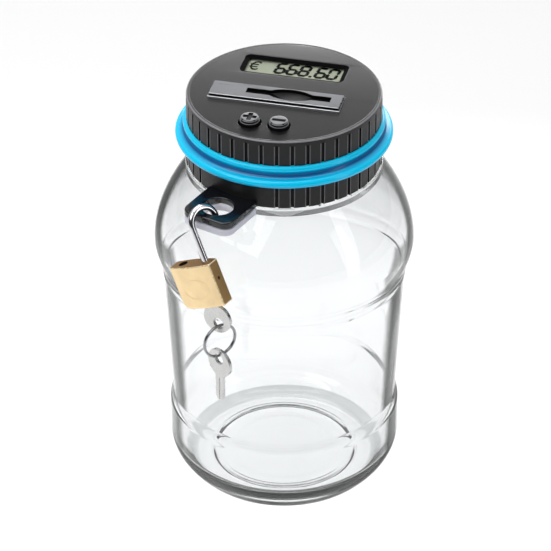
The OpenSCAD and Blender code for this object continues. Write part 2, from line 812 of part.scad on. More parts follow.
module shackle() {
    notch_h = bolt_h + 0.4;
    color([0.8, 0.8, 0.82]) at_shackle() translate([0, 0, -bend_in_r]) rotate([0, 0, -shackle_skew]) {
        rotate([90, 0, 0]) rotate_extrude(angle = 180) translate([bend_r, 0]) circle(wire_r);
        translate([bend_r, 0, -leg_out - leg_in]) cylinder(h = leg_out + leg_in, r = wire_r);
        difference() {
            translate([-bend_r, 0, -toe_l]) rotate_extrude()
                polygon([[0, 0], [wire_r - 0.5, 0], [wire_r, 0.5], [wire_r, toe_l], [0, toe_l]]);
            translate([-bend_r + 0.3, -wire_r - 1, -toe_l + toe_in + bolt_z - 0.2]) cube([wire_r + 1, wire_d + 2, notch_h]);
        }
    }
}

module shackle_spring() {
    spring_l = leg_bore_depth - leg_in;
    color([0.6, 0.6, 0.62]) at_body() translate([0, 0, -leg_bore_depth])
        coil(1.1, 0.28, 9, spring_l);
}

// Outline of the body seen from above: flat ends and bulged faces
module body_plan() {
    sag = (body_t - body_end_t) / 2;
    bulge_r = (pow(body_w / 2, 2) + pow(sag, 2)) / (2 * sag);
    translate([0, leg_end - body_w / 2]) intersection() {
        square([body_t + 2, body_w], center = true);
        translate([body_t / 2 - bulge_r, 0]) circle(bulge_r);
        translate([bulge_r - body_t / 2, 0]) circle(bulge_r);
    }
}

module padlock_body() {
    bolt_cut = 0.12;
    color([0.8, 0.6, 0.25]) at_body() difference() {
        translate([0, 0, -body_h]) linear_extrude(body_h) body_plan();
        translate([0, 0, -leg_bore_depth]) cylinder(h = leg_bore_depth + 1, r = wire_r + fit);
        translate([0, -leg_gap, -toe_in - 0.5]) cylinder(h = toe_in + 2, r = toe_hole_r);
        translate([0, plug_y, -body_h - 1]) cylinder(h = plug_l + 1 + fit, r = plug_d / 2 + fit);
        translate([-bolt_t / 2 - bolt_cut, -leg_gap, bolt_z - bolt_cut])
            cube([bolt_t + 2 * bolt_cut, leg_gap - 5.4, bolt_h + 2 * bolt_cut]);
        translate([0, leg_end, -side_pin_drop]) rotate([90, 0, 0]) cylinder(h = 2, r = side_pin_r);
    }
}

module side_pin() {
    color([0.35, 0.3, 0.2]) at_body() translate([0, leg_end - 0.3, -side_pin_drop]) rotate([90, 0, 0])
        cylinder(h = 1.7, r = side_pin_r);
}

module locking_bolt() {
    color([0.7, 0.7, 0.72]) at_body()
        translate([-bolt_t / 2, -leg_gap + toe_hole_r + 0.2, bolt_z]) cube([bolt_t, bolt_l, bolt_h]);
}

module lock_plug() {
    slot_gap = 0.1;
    color([0.7, 0.52, 0.22]) at_body() translate([0, plug_y, -body_h]) difference() {
        cylinder(h = plug_l, r = plug_d / 2);
        translate([-key_t / 2 - slot_gap, -blade_w / 2 - slot_gap, -1])
            cube([key_t + 2 * slot_gap, blade_w + 2 * slot_gap, blade_l + 1.1]);
    }
}

// Flat key in the XY plane: the middle of the bow is at the origin and the blade points along +Y
module key_outline() {
    bites = [3.2, 5.6, 8, 10.4];
    difference() {
        union() {
            circle(bow_r);
            translate([-blade_w / 2, 0]) square([blade_w, bow_drop + blade_l - 2]);
            polygon([
                [-blade_w / 2, bow_drop + blade_l - 2], [blade_w / 2, bow_drop + blade_l - 2],
                [0.3, bow_drop + blade_l], [-0.9, bow_drop + blade_l]
            ]);
        }
        translate([0, -bow_hole_off]) circle(bow_hole_r);
        for (i = [0:len(bites) - 1])
            translate([blade_w / 2 + 0.4, bow_drop + bites[i]]) rotate(45) square(1.1 + 0.3 * (i % 2), center = true);
    }
}

module key() {
    rotate([90, 0, 90]) linear_extrude(key_t, center = true) key_outline();
}

module key_in_lock() {
    color([0.78, 0.78, 0.76]) at_body() translate([0, plug_y, -body_h - bow_drop]) key();
}

// Split ring of two turns side by side
module key_ring() {
    color([0.75, 0.75, 0.77]) at_lug() translate(key_ring_mid) rotate([90, 0, key_ring_turn])
        rotate_extrude() translate([key_ring_r, 0]) {
            for (side = [-1, 1])
                translate([0, side * coil_step / 2]) circle(key_ring_wire / 2);
        }
}

module spare_key() {
    color([0.78, 0.78, 0.76]) at_lug() translate(spare_hole_at) rotate([0, 0, spare_turn])
        mirror([0, 0, 1]) translate([0, 0, bow_hole_off]) key();
}

jar();
lid_shell();
accent_ring();
lid_gasket();
slot_plate();
coin_chute();
coin_arm();
arm_pin();
arm_spring();
display_lens();
lcd_panel();
lcd_segments();
lcd_connectors();
circuit_board();
controller_chip();
button_switches();
plus_button();
minus_button();
lid_tray();
tray_screws();
battery_cover();
front_battery();
rear_battery();
battery_plates();
battery_springs();
shackle();
shackle_spring();
padlock_body();
side_pin();
locking_bolt();
lock_plug();
key_in_lock();
key_ring();
spare_key();
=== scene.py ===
# Looks of a digital coin bank: a clear jar, a ribbed counting lid and an open padlock with its keys.
import math

import bmesh
import bpy
from mathutils import Matrix, Vector


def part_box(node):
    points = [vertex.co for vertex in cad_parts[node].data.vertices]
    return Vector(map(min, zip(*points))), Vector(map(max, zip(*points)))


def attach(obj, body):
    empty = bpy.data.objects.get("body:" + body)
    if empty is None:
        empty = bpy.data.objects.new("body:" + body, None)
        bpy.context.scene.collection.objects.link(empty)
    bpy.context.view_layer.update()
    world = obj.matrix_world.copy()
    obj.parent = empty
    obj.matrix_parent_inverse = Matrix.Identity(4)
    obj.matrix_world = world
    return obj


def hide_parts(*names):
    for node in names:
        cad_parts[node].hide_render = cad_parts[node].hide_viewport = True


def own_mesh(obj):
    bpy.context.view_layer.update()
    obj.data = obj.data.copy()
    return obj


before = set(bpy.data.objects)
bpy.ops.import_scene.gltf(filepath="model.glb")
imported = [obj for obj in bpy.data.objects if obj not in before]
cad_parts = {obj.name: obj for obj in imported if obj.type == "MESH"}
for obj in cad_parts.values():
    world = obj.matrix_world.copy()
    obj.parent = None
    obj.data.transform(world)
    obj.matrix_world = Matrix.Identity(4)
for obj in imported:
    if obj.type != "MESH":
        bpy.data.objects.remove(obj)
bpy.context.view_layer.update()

MM = 0.001

# Sizes of the jar in millimetres, the same as those of the solids, as are the next four groups
foot_r = 45
foot_ring_w = 8
base_r = 56.2
base_curve_h = 19
base_band_z = 37
panel_low_z = 44
panel_low_r = 54.6
panel_high_r = 58.3
panel_high_z = 112
shoulder_r = 62.4
shoulder_z = 131
jar_wall = 2.2
floor_t = 5.5
neck_r = 41
rim_z = 197.2
flange_r = 47
flange_z = 169.8
flange_t = 3.6

# Lid and its ring
lid_top_z = 209.7
lid_top_r = 45
lid_r = 46
lid_top_t = 2.6
skirt_t = 2.4
lid_low_z = 173.7
grip_count = 40
grip_depth = 0.7
ring_low_z = 187.1
ring_high_z = 196.7
ring_r = 51.4
bead_r = 47.8
ring_seat = 0.9

# Display, slot plate and buttons
display_x = -0.2
display_y = 21.9
display_w = 50.4
display_h = 16.8
window_t = 1.1
window_slope = 2.2
plate_x = -2.3
plate_y = -6.65
plate_l = 63.3
plate_w = 13.7
plate_t = 1.7
slot_x = 3.45
slot_y = -5.8
slot_l = 40.3
slot_w = 4.4
dish_l = 26
dish_r = 4.9
plus_x = -9
minus_x = 4.8
button_y = -31
button_d = 9.2
button_gap = 0.85
button_rise = 3

# Lugs and padlock
lug_turn = -108.7
lug_w = 26
lug_reach = 69.5
lug_corner = 5
lug_t = 3.4
lug_hole_reach = 57.8
lug_hole_d = 14.8
wire_d = 3.3
leg_gap = 13.5
shackle_skew = 20
hang_tilt = 23.5
hang_side = -2.9
hang_gap = 1.6
lift_gap = 0.4
leg_out = 17.4
leg_in = 5
toe_l = 9
toe_in = 4
spring_r = 1.1
spring_wire_r = 0.28
spring_turns = 9
body_w = 24
leg_end = 4.25
body_h = 21.7
body_t = 9.4
body_end_t = 6.6
plug_y = -5.8
plug_d = 6.2
side_pin_drop = 8.6
side_pin_r = 0.9

# Keys and their ring
bow_d = 14.6
bow_hole_d = 5.4
bow_hole_off = 2.4
key_t = 1.8
blade_w = 4.8
blade_l = 13.5
key_ring_d = 18
key_ring_wire = 1.05
key_ring_turn = -25
spare_turn = -13
rest_gap = 0.6

# Sizes of the looks alone
# Height up to which the foot glass carries painted shade
foot_painted_shade_z = 6
glass_edge = 0.6
bore_fit = 0.05
floor_drop = 0.3

# Values worked out from those sizes
lid_under_z = lid_top_z - lid_top_t
skirt_in_r = lid_r - skirt_t
neck_in_r = neck_r - jar_wall
wire_r = wire_d / 2
shackle_travel = leg_out - (toe_l - toe_in)
spring_spare_l = 1.6
spring_l = shackle_travel + spring_spare_l
leg_bore_l = leg_in + spring_l
bend_r = leg_gap / 2
bend_in_r = bend_r - wire_r
leg_x = bend_r * math.cos(math.radians(shackle_skew))
leg_y = -bend_r * math.sin(math.radians(shackle_skew))
hang_reach = lug_reach + lift_gap + body_t / 2 - leg_x
hang_z = lid_low_z + lug_t + hang_gap
body_z = -bend_in_r - leg_out
body_mid_y = leg_end - body_w / 2
plug_bore_r = plug_d / 2 + bore_fit
plug_bore_l = blade_l + 0.9
bow_r = bow_d / 2
bow_drop = bow_r + 0.2
key_ring_r = (key_ring_d - key_ring_wire) / 2
ring_play = bow_hole_d / 2 - key_ring_wire / 2 - rest_gap


# Placing matrices, in millimetres
def turn(degrees, axis):
    return Matrix.Rotation(math.radians(degrees), 4, axis)


def move(x, y, z):
    return Matrix.Translation((x, y, z))


at_lug = turn(lug_turn, "Z")
at_shackle = at_lug @ move(hang_reach, hang_side, hang_z) @ turn(hang_tilt, "X")
at_body = at_shackle @ move(leg_x, leg_y, body_z)
at_key = at_body @ move(0, plug_y, -body_h - bow_drop)
bow_hole_at = at_key @ Vector((0, 0, -bow_hole_off))
key_ring_mid = bow_hole_at - Vector((0, 0, ring_play + key_ring_r))
spare_hole_at = key_ring_mid - Vector((0, 0, key_ring_r + ring_play))


# Mesh helpers
def add_mesh(name, points, faces):
    """New object from points in millimetres, cleaned."""
    mesh = bpy.data.meshes.new(name)
    mesh.from_pydata([Vector(p) * MM for p in points], [], faces)
    piece = bpy.data.objects.new(name, mesh)
    bpy.context.scene.collection.objects.link(piece)
    clean(piece)
    return piece


def clean(piece):
    """Welds doubled points, drops empty faces and turns the faces outward."""
    mesh = bmesh.new()
    mesh.from_mesh(piece.data)
    bmesh.ops.remove_doubles(mesh, verts=mesh.verts, dist=1e-6)
    bmesh.ops.dissolve_degenerate(mesh, edges=mesh.edges, dist=1e-7)
    bmesh.ops.recalc_face_normals(mesh, faces=mesh.faces)
    mesh.to_mesh(piece.data)
    mesh.free()


def loft(name, loops, ring=False):
    """Skin through loops with the same number of points, capped at both ends or closed into a ring."""
    count = len(loops[0])
    points = [p for loop in loops for p in loop]
    faces = []
    last = len(loops) if ring else len(loops) - 1
    for i in range(last):
        low = i * count
        high = (i + 1) % len(loops) * count
        for j in range(count):
            k = (j + 1) % count
            faces.append((low + j, low + k, high + k, high + j))
    if not ring:
        faces.append(tuple(range(count - 1, -1, -1)))
        faces.append(tuple(range(len(points) - count, len(points))))
    return add_mesh(name, points, faces)


def lathe(name, profile, steps=128):
    """Turns a closed profile of (radius, height) points around Z."""
    loops = []
    for i in range(steps):
        a = math.tau * i / steps
        loops.append([(r * math.cos(a), r * math.sin(a), z) for r, z in profile])
    return loft(name, loops, ring=True)


def wire_loop(middle, along, side, radius, sides):
    """Round section of a wire, square to its way, and the direction of its first point."""
    side = (side - along * side.dot(along)).normalized()
    other = along.cross(side)
    loop = []
    for i in range(sides):
        a = math.tau * i / sides
        loop.append(middle + radius * (math.cos(a) * side + math.sin(a) * other))
    return loop, side


def tube(name, path, radius, sides=20, end_taper=0.4):
    """Round wire along a path, with its ends rounded over by end_taper."""
    path = [Vector(p) for p in path]
    first = (path[1] - path[0]).normalized()
    last = (path[-1] - path[-2]).normalized()
    side = first.orthogonal().normalized()
    rings = [(path[0], first, radius - end_taper), (path[0] + first * end_taper, first, radius)]
    for before, here, after in zip(path, path[1:], path[2:]):
        rings.append((here, (after - before).normalized(), radius))
    rings += [(path[-1] - last * end_taper, last, radius), (path[-1], last, radius - end_taper)]
    loops = []
    for middle, along, size in rings:
        loop, side = wire_loop(middle, along, side, size, sides)
        loops.append(loop)
    return loft(name, loops)


def ring_tube(name, path, radius, sides=10):
    """Round wire along a closed path."""
    loops = []
    count = len(path)
    for i, here in enumerate(path):
        along = (path[(i + 1) % count] - path[i - 1]).normalized()
        loops.append(wire_loop(here, along, Vector((1, 0, 0)), radius, sides)[0])
    return loft(name, loops, ring=True)


def plate(name, outlines, thick, edge, place=Matrix.Identity(4)):
    """Flat plate from an outline and its holes, with rounded edges, centred on its own XY plane."""
    curve = bpy.data.curves.new(name, "CURVE")
    curve.dimensions = "2D"
    curve.fill_mode = "BOTH"
    curve.extrude = thick / 2 - edge
    curve.bevel_depth = edge
    curve.bevel_resolution = 2
    curve.offset = -edge
    for outline in outlines:
        spline = curve.splines.new("POLY")
        spline.points.add(len(outline) - 1)
        for point, (x, y) in zip(spline.points, outline):
            point.co = (x, y, 0, 1)
        spline.use_cyclic_u = True
    holder = bpy.data.objects.new(name, curve)
    bpy.context.scene.collection.objects.link(holder)
    drawn = holder.evaluated_get(bpy.context.evaluated_depsgraph_get())
    mesh = bpy.data.meshes.new_from_object(drawn)
    bpy.data.objects.remove(holder)
    mesh.transform(Matrix.Scale(MM, 4) @ place)
    mesh.name = name
    piece = bpy.data.objects.new(name, mesh)
    bpy.context.scene.collection.objects.link(piece)
    clean(piece)
    return piece


def apply_modifiers(piece):
    """Makes the shape that the modifiers give the piece's own mesh."""
    drawn = piece.evaluated_get(bpy.context.evaluated_depsgraph_get())
    mesh = bpy.data.meshes.new_from_object(drawn)
    piece.modifiers.clear()
    piece.data = mesh


def combine(piece, other, operation):
    """Adds another solid to a piece or cuts it away, and removes the other object."""
    change = piece.modifiers.new("combine", "BOOLEAN")
    change.operation = operation
    change.object = other
    change.solver = "EXACT"
    apply_modifiers(piece)
    bpy.data.objects.remove(other)


def place_mesh(piece, matrix):
    """Moves the points of a piece by a matrix given in millimetres."""
    scale = Matrix.Scale(MM, 4)
    piece.data.transform(scale @ matrix @ scale.inverted())
    return piece


def bore(piece, r, low, high, place, steps=48):
    """Cuts a round hole along the Z axis of its place, between two heights there."""
    cutter = lathe("bore", [(0, low), (r, low), (r, high), (0, high)], steps)
    combine(piece, place_mesh(cutter, place), "DIFFERENCE")


def dress(piece, body, material, slot, *nodes, sharp=35):
    """Smooths a piece, gives it its material and lets it ride on a body in place of CAD nodes; the slot is
    not used.
    """
    piece.data.materials.clear()
    piece.data.materials.append(material)
    piece.data.shade_smooth()
    piece.data.set_sharp_from_angle(angle=math.radians(sharp))
    even = piece.modifiers.new("even", "WEIGHTED_NORMAL")
    even.keep_sharp = True
    apply_modifiers(piece)
    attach(piece, body)
    if nodes:
        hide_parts(*nodes)
    return piece


def add_materials(piece, *materials):
    for material in materials:
        piece.data.materials.append(material)


# Outlines, as lists of points
def arc(x, y, r, start, end, steps):
    """Points of a circle's stretch between two angles in degrees."""
    points = []
    for i in range(steps + 1):
        a = math.radians(start + (end - start) * i / steps)
        points.append((x + r * math.cos(a), y + r * math.sin(a)))
    return points


def circle(x, y, r, steps=64):
    return arc(x, y, r, 0, 360, steps)[:-1]


def rounded_box(x, y, w, h, r, steps=6):
    """Outline of a rectangle with round corners, anticlockwise from the upper right corner."""
    points = []
    for i, (sx, sy) in enumerate([(1, 1), (-1, 1), (-1, -1), (1, -1)]):
        points += arc(x + sx * (w / 2 - r), y + sy * (h / 2 - r), r, 90 * i, 90 * i + 90, steps)
    return points


def lug_outline(root_r):
    """Lug from its root near the neck to its rounded outer corners."""
    half = lug_w / 2
    outer = lug_reach - lug_corner
    return (
        [(root_r, -half)]
        + arc(outer, -half + lug_corner, lug_corner, -90, 0, 8)
        + arc(outer, half - lug_corner, lug_corner, 0, 90, 8)
        + [(root_r, half)]
    )


def soft_corner(start, corner, end):
    """Points of a curve that rounds a corner, without its last point."""
    steps = 8
    points = []
    for i in range(steps):
        t = i / steps
        shares = ((1 - t) ** 2, 2 * t * (1 - t), t * t)
        points.append(tuple(sum(s * v for s, v in zip(shares, axis)) for axis in zip(start, corner, end)))
    return points


def at_height(outline, z):
    return [(x, y, z) for x, y in outline]


# Materials
def tone(red, green, blue):
    """Screen colour from 0 to 255 as linear light."""
    linear = []
    for value in (red, green, blue):
        share = value / 255
        linear.append(share / 12.92 if share <= 0.04045 else ((share + 0.055) / 1.055) ** 2.4)
    return (*linear, 1)


def fill_ramp(ramp, stops):
    """Sets a colour ramp to a list of (position, colour)."""
    elements = ramp.color_ramp.elements
    for position, colour in stops[1:-1]:
        elements.new(position)
    for element, (position, colour) in zip(elements, stops):
        element.position = position
        element.color = colour


class Finish:
    """A procedural material: a shader whose colour, gloss and relief vary with the place on the object."""

    def __init__(self, name, colour, rough, metal=0, **sockets):
        self.material = bpy.data.materials.new(name)
        self.material.use_nodes = True
        self.nodes = self.material.node_tree.nodes
        self.links = self.material.node_tree.links
        self.shader = self.nodes["Principled BSDF"]
        self.colour = colour
        self.shader.inputs["Base Color"].default_value = colour
        self.shader.inputs["Roughness"].default_value = rough
        self.shader.inputs["Metallic"].default_value = metal
        for socket, value in sockets.items():
            self.shader.inputs[socket.replace("_", " ")].default_value = value

    def noise(self, scale, detail=3, stretch=(1, 1, 1)):
        place = self.nodes.new("ShaderNodeTexCoord")
        mapping = self.nodes.new("ShaderNodeMapping")
        mapping.inputs["Scale"].default_value = stretch
        texture = self.nodes.new("ShaderNodeTexNoise")
        texture.inputs["Scale"].default_value = scale
        texture.inputs["Detail"].default_value = detail
        self.links.new(place.outputs["Object"], mapping.inputs["Vector"])
        self.links.new(mapping.outputs["Vector"], texture.inputs["Vector"])
        return texture.outputs["Fac"]

    def span(self, value, low, high):
        """Maps the middle of a noise to a range."""
        node = self.nodes.new("ShaderNodeMapRange")
        node.inputs["From Min"].default_value = 0.3
        node.inputs["From Max"].default_value = 0.7
        node.inputs["To Min"].default_value = low
        node.inputs["To Max"].default_value = high
        self.links.new(value, node.inputs["Value"])
        return node.outputs["Result"]

    def mottle(self, scale, amount, stretch=(1, 1, 1)):
        """Lets the colour wander by a share of its strength."""
        mix = self.nodes.new("ShaderNodeMix")
        mix.data_type = "RGBA"
        mix.inputs["A"].default_value = [c * (1 - amount) for c in self.colour[:3]] + [1]
        mix.inputs["B"].default_value = [min(1, c * (1 + amount)) for c in self.colour[:3]] + [1]
        self.links.new(self.span(self.noise(scale, 3, stretch), 0, 1), mix.inputs["Factor"])
        self.links.new(mix.outputs["Result"], self.shader.inputs["Base Color"])
        return self

    def gloss(self, scale, low, high, stretch=(1, 1, 1)):
        """Lets the roughness wander between two values."""
        self.links.new(self.span(self.noise(scale, 4, stretch), low, high), self.shader.inputs["Roughness"])
        return self

    def relief(self, scale, depth, stretch=(1, 1, 1)):
        """Fine bumps, with their depth in millimetres."""
        bump = self.nodes.new("ShaderNodeBump")
        bump.inputs["Strength"].default_value = 1
        bump.inputs["Distance"].default_value = depth * MM
        self.links.new(self.noise(scale, 4, stretch), bump.inputs["Height"])
        self.links.new(bump.outputs["Normal"], self.shader.inputs["Normal"])
        return self

    def painted_dark_reflections(self, colour, strength):
        """Glass with painted dark reflections: dark streaks a little inside its outline, which come and go
        along it.
        """
        dark = self.nodes.new("ShaderNodeBsdfPrincipled")
        dark.inputs["Base Color"].default_value = colour
        dark.inputs["Roughness"].default_value = 0.4
        dark.inputs["Specular IOR Level"].default_value = 0.1
        weight = self.nodes.new("ShaderNodeLayerWeight")
        weight.inputs["Blend"].default_value = 0.5
        ramp = self.nodes.new("ShaderNodeValToRGB")
        ramp.color_ramp.interpolation = "EASE"
        levels = [(0.62, 0), (0.71, 1), (0.83, 1), (0.92, 0.3)]
        fill_ramp(ramp, [(position, (level, level, level, 1)) for position, level in levels])
        share = self.nodes.new("ShaderNodeMath")
        share.operation = "MULTIPLY"
        mix = self.nodes.new("ShaderNodeMixShader")
        self.links.new(weight.outputs["Facing"], ramp.inputs["Fac"])
        self.links.new(ramp.outputs["Color"], share.inputs[0])
        patches = self.span(self.noise(18, 2, (1, 1, 0.5)), 0.45 * strength, strength)
        self.links.new(patches, share.inputs[1])
        self.links.new(share.outputs["Value"], mix.inputs["Fac"])
        self.links.new(self.shader.outputs["BSDF"], mix.inputs[1])
        self.links.new(dark.outputs["BSDF"], mix.inputs[2])
        self.links.new(mix.outputs["Shader"], self.nodes["Material Output"].inputs["Surface"])
        return self

    def by_height(self, low, high, stops):
        """Colour that changes with the height, from a list of (share of the height, colour)."""
        place = self.nodes.new("ShaderNodeTexCoord")
        split = self.nodes.new("ShaderNodeSeparateXYZ")
        share = self.nodes.new("ShaderNodeMapRange")
        share.inputs["From Min"].default_value = low * MM
        share.inputs["From Max"].default_value = high * MM
        ramp = self.nodes.new("ShaderNodeValToRGB")
        fill_ramp(ramp, stops)
        self.links.new(place.outputs["Object"], split.inputs["Vector"])
        self.links.new(split.outputs["Z"], share.inputs["Value"])
        self.links.new(share.outputs["Result"], ramp.inputs["Fac"])
        self.links.new(ramp.outputs["Color"], self.shader.inputs["Base Color"])
        return self

    def absorb(self, colour, density):
        """Light is lost on its way through the solid."""
        volume = self.nodes.new("ShaderNodeVolumeAbsorption")
        volume.inputs["Color"].default_value = colour
        volume.inputs["Density"].default_value = density
        self.links.new(volume.outputs["Volume"], self.nodes["Material Output"].inputs["Volume"])
        return self


def brushed(name, colour, rough, stretch, metal=1):
    """Metal with fine lines along the axis that is stretched least."""
    finish = Finish(name, colour, rough, metal)
    finish.mottle(60, 0.06).gloss(900, rough * 0.8, rough * 1.3, stretch).relief(1400, 0.004, stretch)
    return finish.material


# Jar glass, with painted dark reflections as streaks near its outline
clear = Finish("clear_jar", (0.92, 0.927, 0.932, 1), 0.0, Transmission_Weight=1.0, IOR=1.49)
clear.relief(22, 0.03).painted_dark_reflections(tone(24, 29, 28), 1).absorb(tone(196, 204, 202), 18)
# Darker glass at the foot: painted shade where the jar meets the floor, partly the thick glass's own tint
foot_painted_shade_glass = Finish("foot_painted_shade_glass", (0.76, 0.8, 0.79, 1), 0.0, Transmission_Weight=1.0, IOR=1.49)
foot_painted_shade_glass.relief(22, 0.03).painted_dark_reflections(tone(16, 22, 20), 1).absorb(tone(150, 168, 162), 18)
frosted = Finish("frosted_lug", tone(226, 227, 238), 0.4, Transmission_Weight=0.25, IOR=1.45)
frosted.mottle(120, 0.04).gloss(300, 0.34, 0.46)
window = Finish("clear_window", (0.97, 0.98, 0.98, 1), 0.0, Transmission_Weight=1.0, IOR=1.04)
window.mottle(60, 0.01)
lid_black = Finish("lid_black", tone(12, 12, 15), 0.3, Specular_IOR_Level=0.34)
lid_black.mottle(180, 0.08).gloss(500, 0.21, 0.225).relief(2600, 0.0015)
skirt_black = Finish("skirt_black", tone(25, 25, 26), 0.4, Specular_IOR_Level=0.3)
skirt_black.mottle(180, 0.12).gloss(500, 0.36, 0.46).relief(2600, 0.004)
# Near-black painted shade for the skirt's grooves, the slot plate's flank and the buttons' sunk marks
recess_painted_shade = Finish("recess_painted_shade", tone(6, 6, 7), 0.5, Specular_IOR_Level=0.15)
recess_painted_shade.mottle(200, 0.2).gloss(400, 0.45, 0.55)
# Near-black painted shade for the sloped walls of the display window
window_wall_painted_shade = Finish("window_wall_painted_shade", tone(5, 5, 6), 0.8, Specular_IOR_Level=0.03)
window_wall_painted_shade.mottle(200, 0.2).gloss(400, 0.75, 0.85)
# Painted highlights: a lighter grey on the skirt's groove lips and on the lid's rounded rim
lip_painted_highlight = Finish("lip_painted_highlight", tone(84, 84, 87), 0.34)
lip_painted_highlight.mottle(260, 0.25).gloss(500, 0.28, 0.4)
rim_painted_highlight = Finish("rim_painted_highlight", tone(126, 126, 130), 0.3)
rim_painted_highlight.mottle(260, 0.15).gloss(500, 0.25, 0.36)
gloss_black = Finish("lug_black", tone(17, 18, 22), 0.16, Specular_IOR_Level=0.6)
gloss_black.mottle(160, 0.1).gloss(260, 0.12, 0.2).relief(900, 0.003)
inner_black = Finish("inner_black", tone(24, 24, 26), 0.45)
inner_black.mottle(200, 0.15).gloss(400, 0.4, 0.52).relief(2200, 0.008)
ring_blue = Finish("ring_blue", tone(0, 190, 250), 0.26, Specular_IOR_Level=0.34)
ring_blue.gloss(220, 0.16, 0.22).relief(500, 0.002)
# Along the height, the blue is lighter on the beads as painted highlight and darker in the hollow as
# painted shade
bead_painted_highlight_blue = tone(0, 210, 255)
hollow_painted_shade_blue = tone(0, 98, 160)
blue_painted_light_stops = [(0.0, tone(0, 170, 235)), (0.25, bead_painted_highlight_blue), (0.38, bead_painted_highlight_blue)]
blue_painted_light_stops += [(0.5, hollow_painted_shade_blue), (0.64, hollow_painted_shade_blue), (0.8, bead_painted_highlight_blue)]
ring_blue.by_height(ring_low_z, ring_high_z, blue_painted_light_stops)
plate_grey = brushed("plate_grey", tone(96, 97, 100), 0.34, (0.04, 1, 1))
# Light grey on the plate's sloped edges: painted highlight
plate_edge_painted_highlight = brushed("plate_edge_painted_highlight", tone(206, 207, 210), 0.26, (0.04, 1, 1))
# Grey on the black button's top and rounded edges: painted sheen
button_painted_sheen_grey = Finish("button_painted_sheen_grey", tone(112, 113, 116), 0.34)
button_painted_sheen_grey.mottle(400, 0.1).gloss(700, 0.34, 0.46).relief(2600, 0.006)
button_black = Finish("button_black", tone(18, 18, 20), 0.3)
button_black.mottle(400, 0.12).gloss(700, 0.26, 0.36).relief(2600, 0.006)
lcd_olive = Finish("lcd_olive", tone(122, 126, 111), 0.7, Specular_IOR_Level=0.1)
lcd_olive.mottle(60, 0.05).gloss(300, 0.65, 0.75)
lcd_ink = Finish("lcd_ink", tone(7, 9, 8), 0.8, Specular_IOR_Level=0.02)
lcd_ink.mottle(500, 0.15)
brass = Finish("brass", tone(240, 214, 168), 0.36, 1)
brass.mottle(140, 0.07).gloss(700, 0.3, 0.42, (1, 1, 0.15)).relief(1500, 0.006, (1, 1, 0.12))
# Lit and shaded copies of the brass: darker ends and top as painted shade, lighter edges as painted
# highlight
brass_end_painted_shade = Finish("brass_end_painted_shade", tone(202, 164, 112), 0.4, 1)
brass_end_painted_shade.mottle(160, 0.08).gloss(700, 0.34, 0.46, (1, 1, 0.15)).relief(1500, 0.006, (1, 1, 0.12))
brass_top_painted_shade = Finish("brass_top_painted_shade", tone(168, 130, 84), 0.42, 1)
brass_top_painted_shade.mottle(160, 0.08).gloss(700, 0.36, 0.48)
brass_edge_painted_highlight = Finish("brass_edge_painted_highlight", tone(250, 228, 182), 0.3, 0.5)
brass_edge_painted_highlight.mottle(200, 0.06).gloss(700, 0.2, 0.32)
# Dark brown painted shade in the padlock's toe hole and on the side pin in its bore
bore_painted_shade = Finish("bore_painted_shade", tone(46, 34, 22), 0.6, 0.6)
bore_painted_shade.mottle(300, 0.2).gloss(400, 0.5, 0.7)
chrome = Finish("chrome", tone(222, 223, 226), 0.09, 1)
chrome.mottle(80, 0.03).gloss(500, 0.06, 0.13).relief(700, 0.002)
nickel = Finish("nickel", tone(200, 200, 199), 0.26, 1)
nickel.mottle(150, 0.06).gloss(600, 0.2, 0.34).relief(900, 0.006)
ring_steel = Finish("ring_steel", tone(150, 151, 154), 0.16, 1)
ring_steel.mottle(120, 0.06).gloss(500, 0.12, 0.2).relief(700, 0.003)
steel = brushed("steel", tone(178, 179, 182), 0.3, (1, 0.06, 1))
seal = Finish("seal", tone(206, 206, 200), 0.7)
seal.mottle(300, 0.06).gloss(400, 0.62, 0.78).relief(1200, 0.02)
board_green = Finish("board_green", tone(34, 104, 62), 0.4)
board_green.mottle(350, 0.2).gloss(350, 0.3, 0.5).relief(500, 0.03)
chip_black = Finish("chip_black", tone(22, 22, 24), 0.55)
chip_black.mottle(500, 0.15).relief(2500, 0.01)
arm_white = Finish("arm_white", tone(206, 204, 196), 0.4)
arm_white.mottle(250, 0.05).gloss(400, 0.34, 0.46)
cell_green = Finish("cell_green", tone(40, 110, 74), 0.3, 0.3)
cell_green.mottle(120, 0.1).gloss(300, 0.24, 0.36)

# CAD nodes that keep their shape, with the material of each
kept = {
    "lid_gasket": seal.material,
    "lcd_connectors": seal.material,
    "coin_chute": inner_black.material,
    "lid_tray": inner_black.material,
    "battery_cover": inner_black.material,
    "coin_arm": arm_white.material,
    "display_lens": window.material,
    "lcd_panel": lcd_olive.material,
    "circuit_board": board_green.material,
    "controller_chip": chip_black.material,
    "button_switches": chip_black.material,
    "front_battery": cell_green.material,
    "rear_battery": cell_green.material,
    "lock_plug": brass.material,
    # The side pin in its bore gets the bore's painted shade
    "side_pin": bore_painted_shade.material,
    "arm_pin": steel,
    "arm_spring": steel,
    "tray_screws": steel,
    "battery_plates": steel,
    "battery_springs": steel,
    "locking_bolt": steel,
}
for node, material in kept.items():
    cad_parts[node].data.materials.clear()
    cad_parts[node].data.materials.append(material)
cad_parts["display_lens"].visible_shadow = False


# Jar
def ease(low, high, share):
    return low + (high - low) * (1 - math.cos(math.pi * share)) / 2


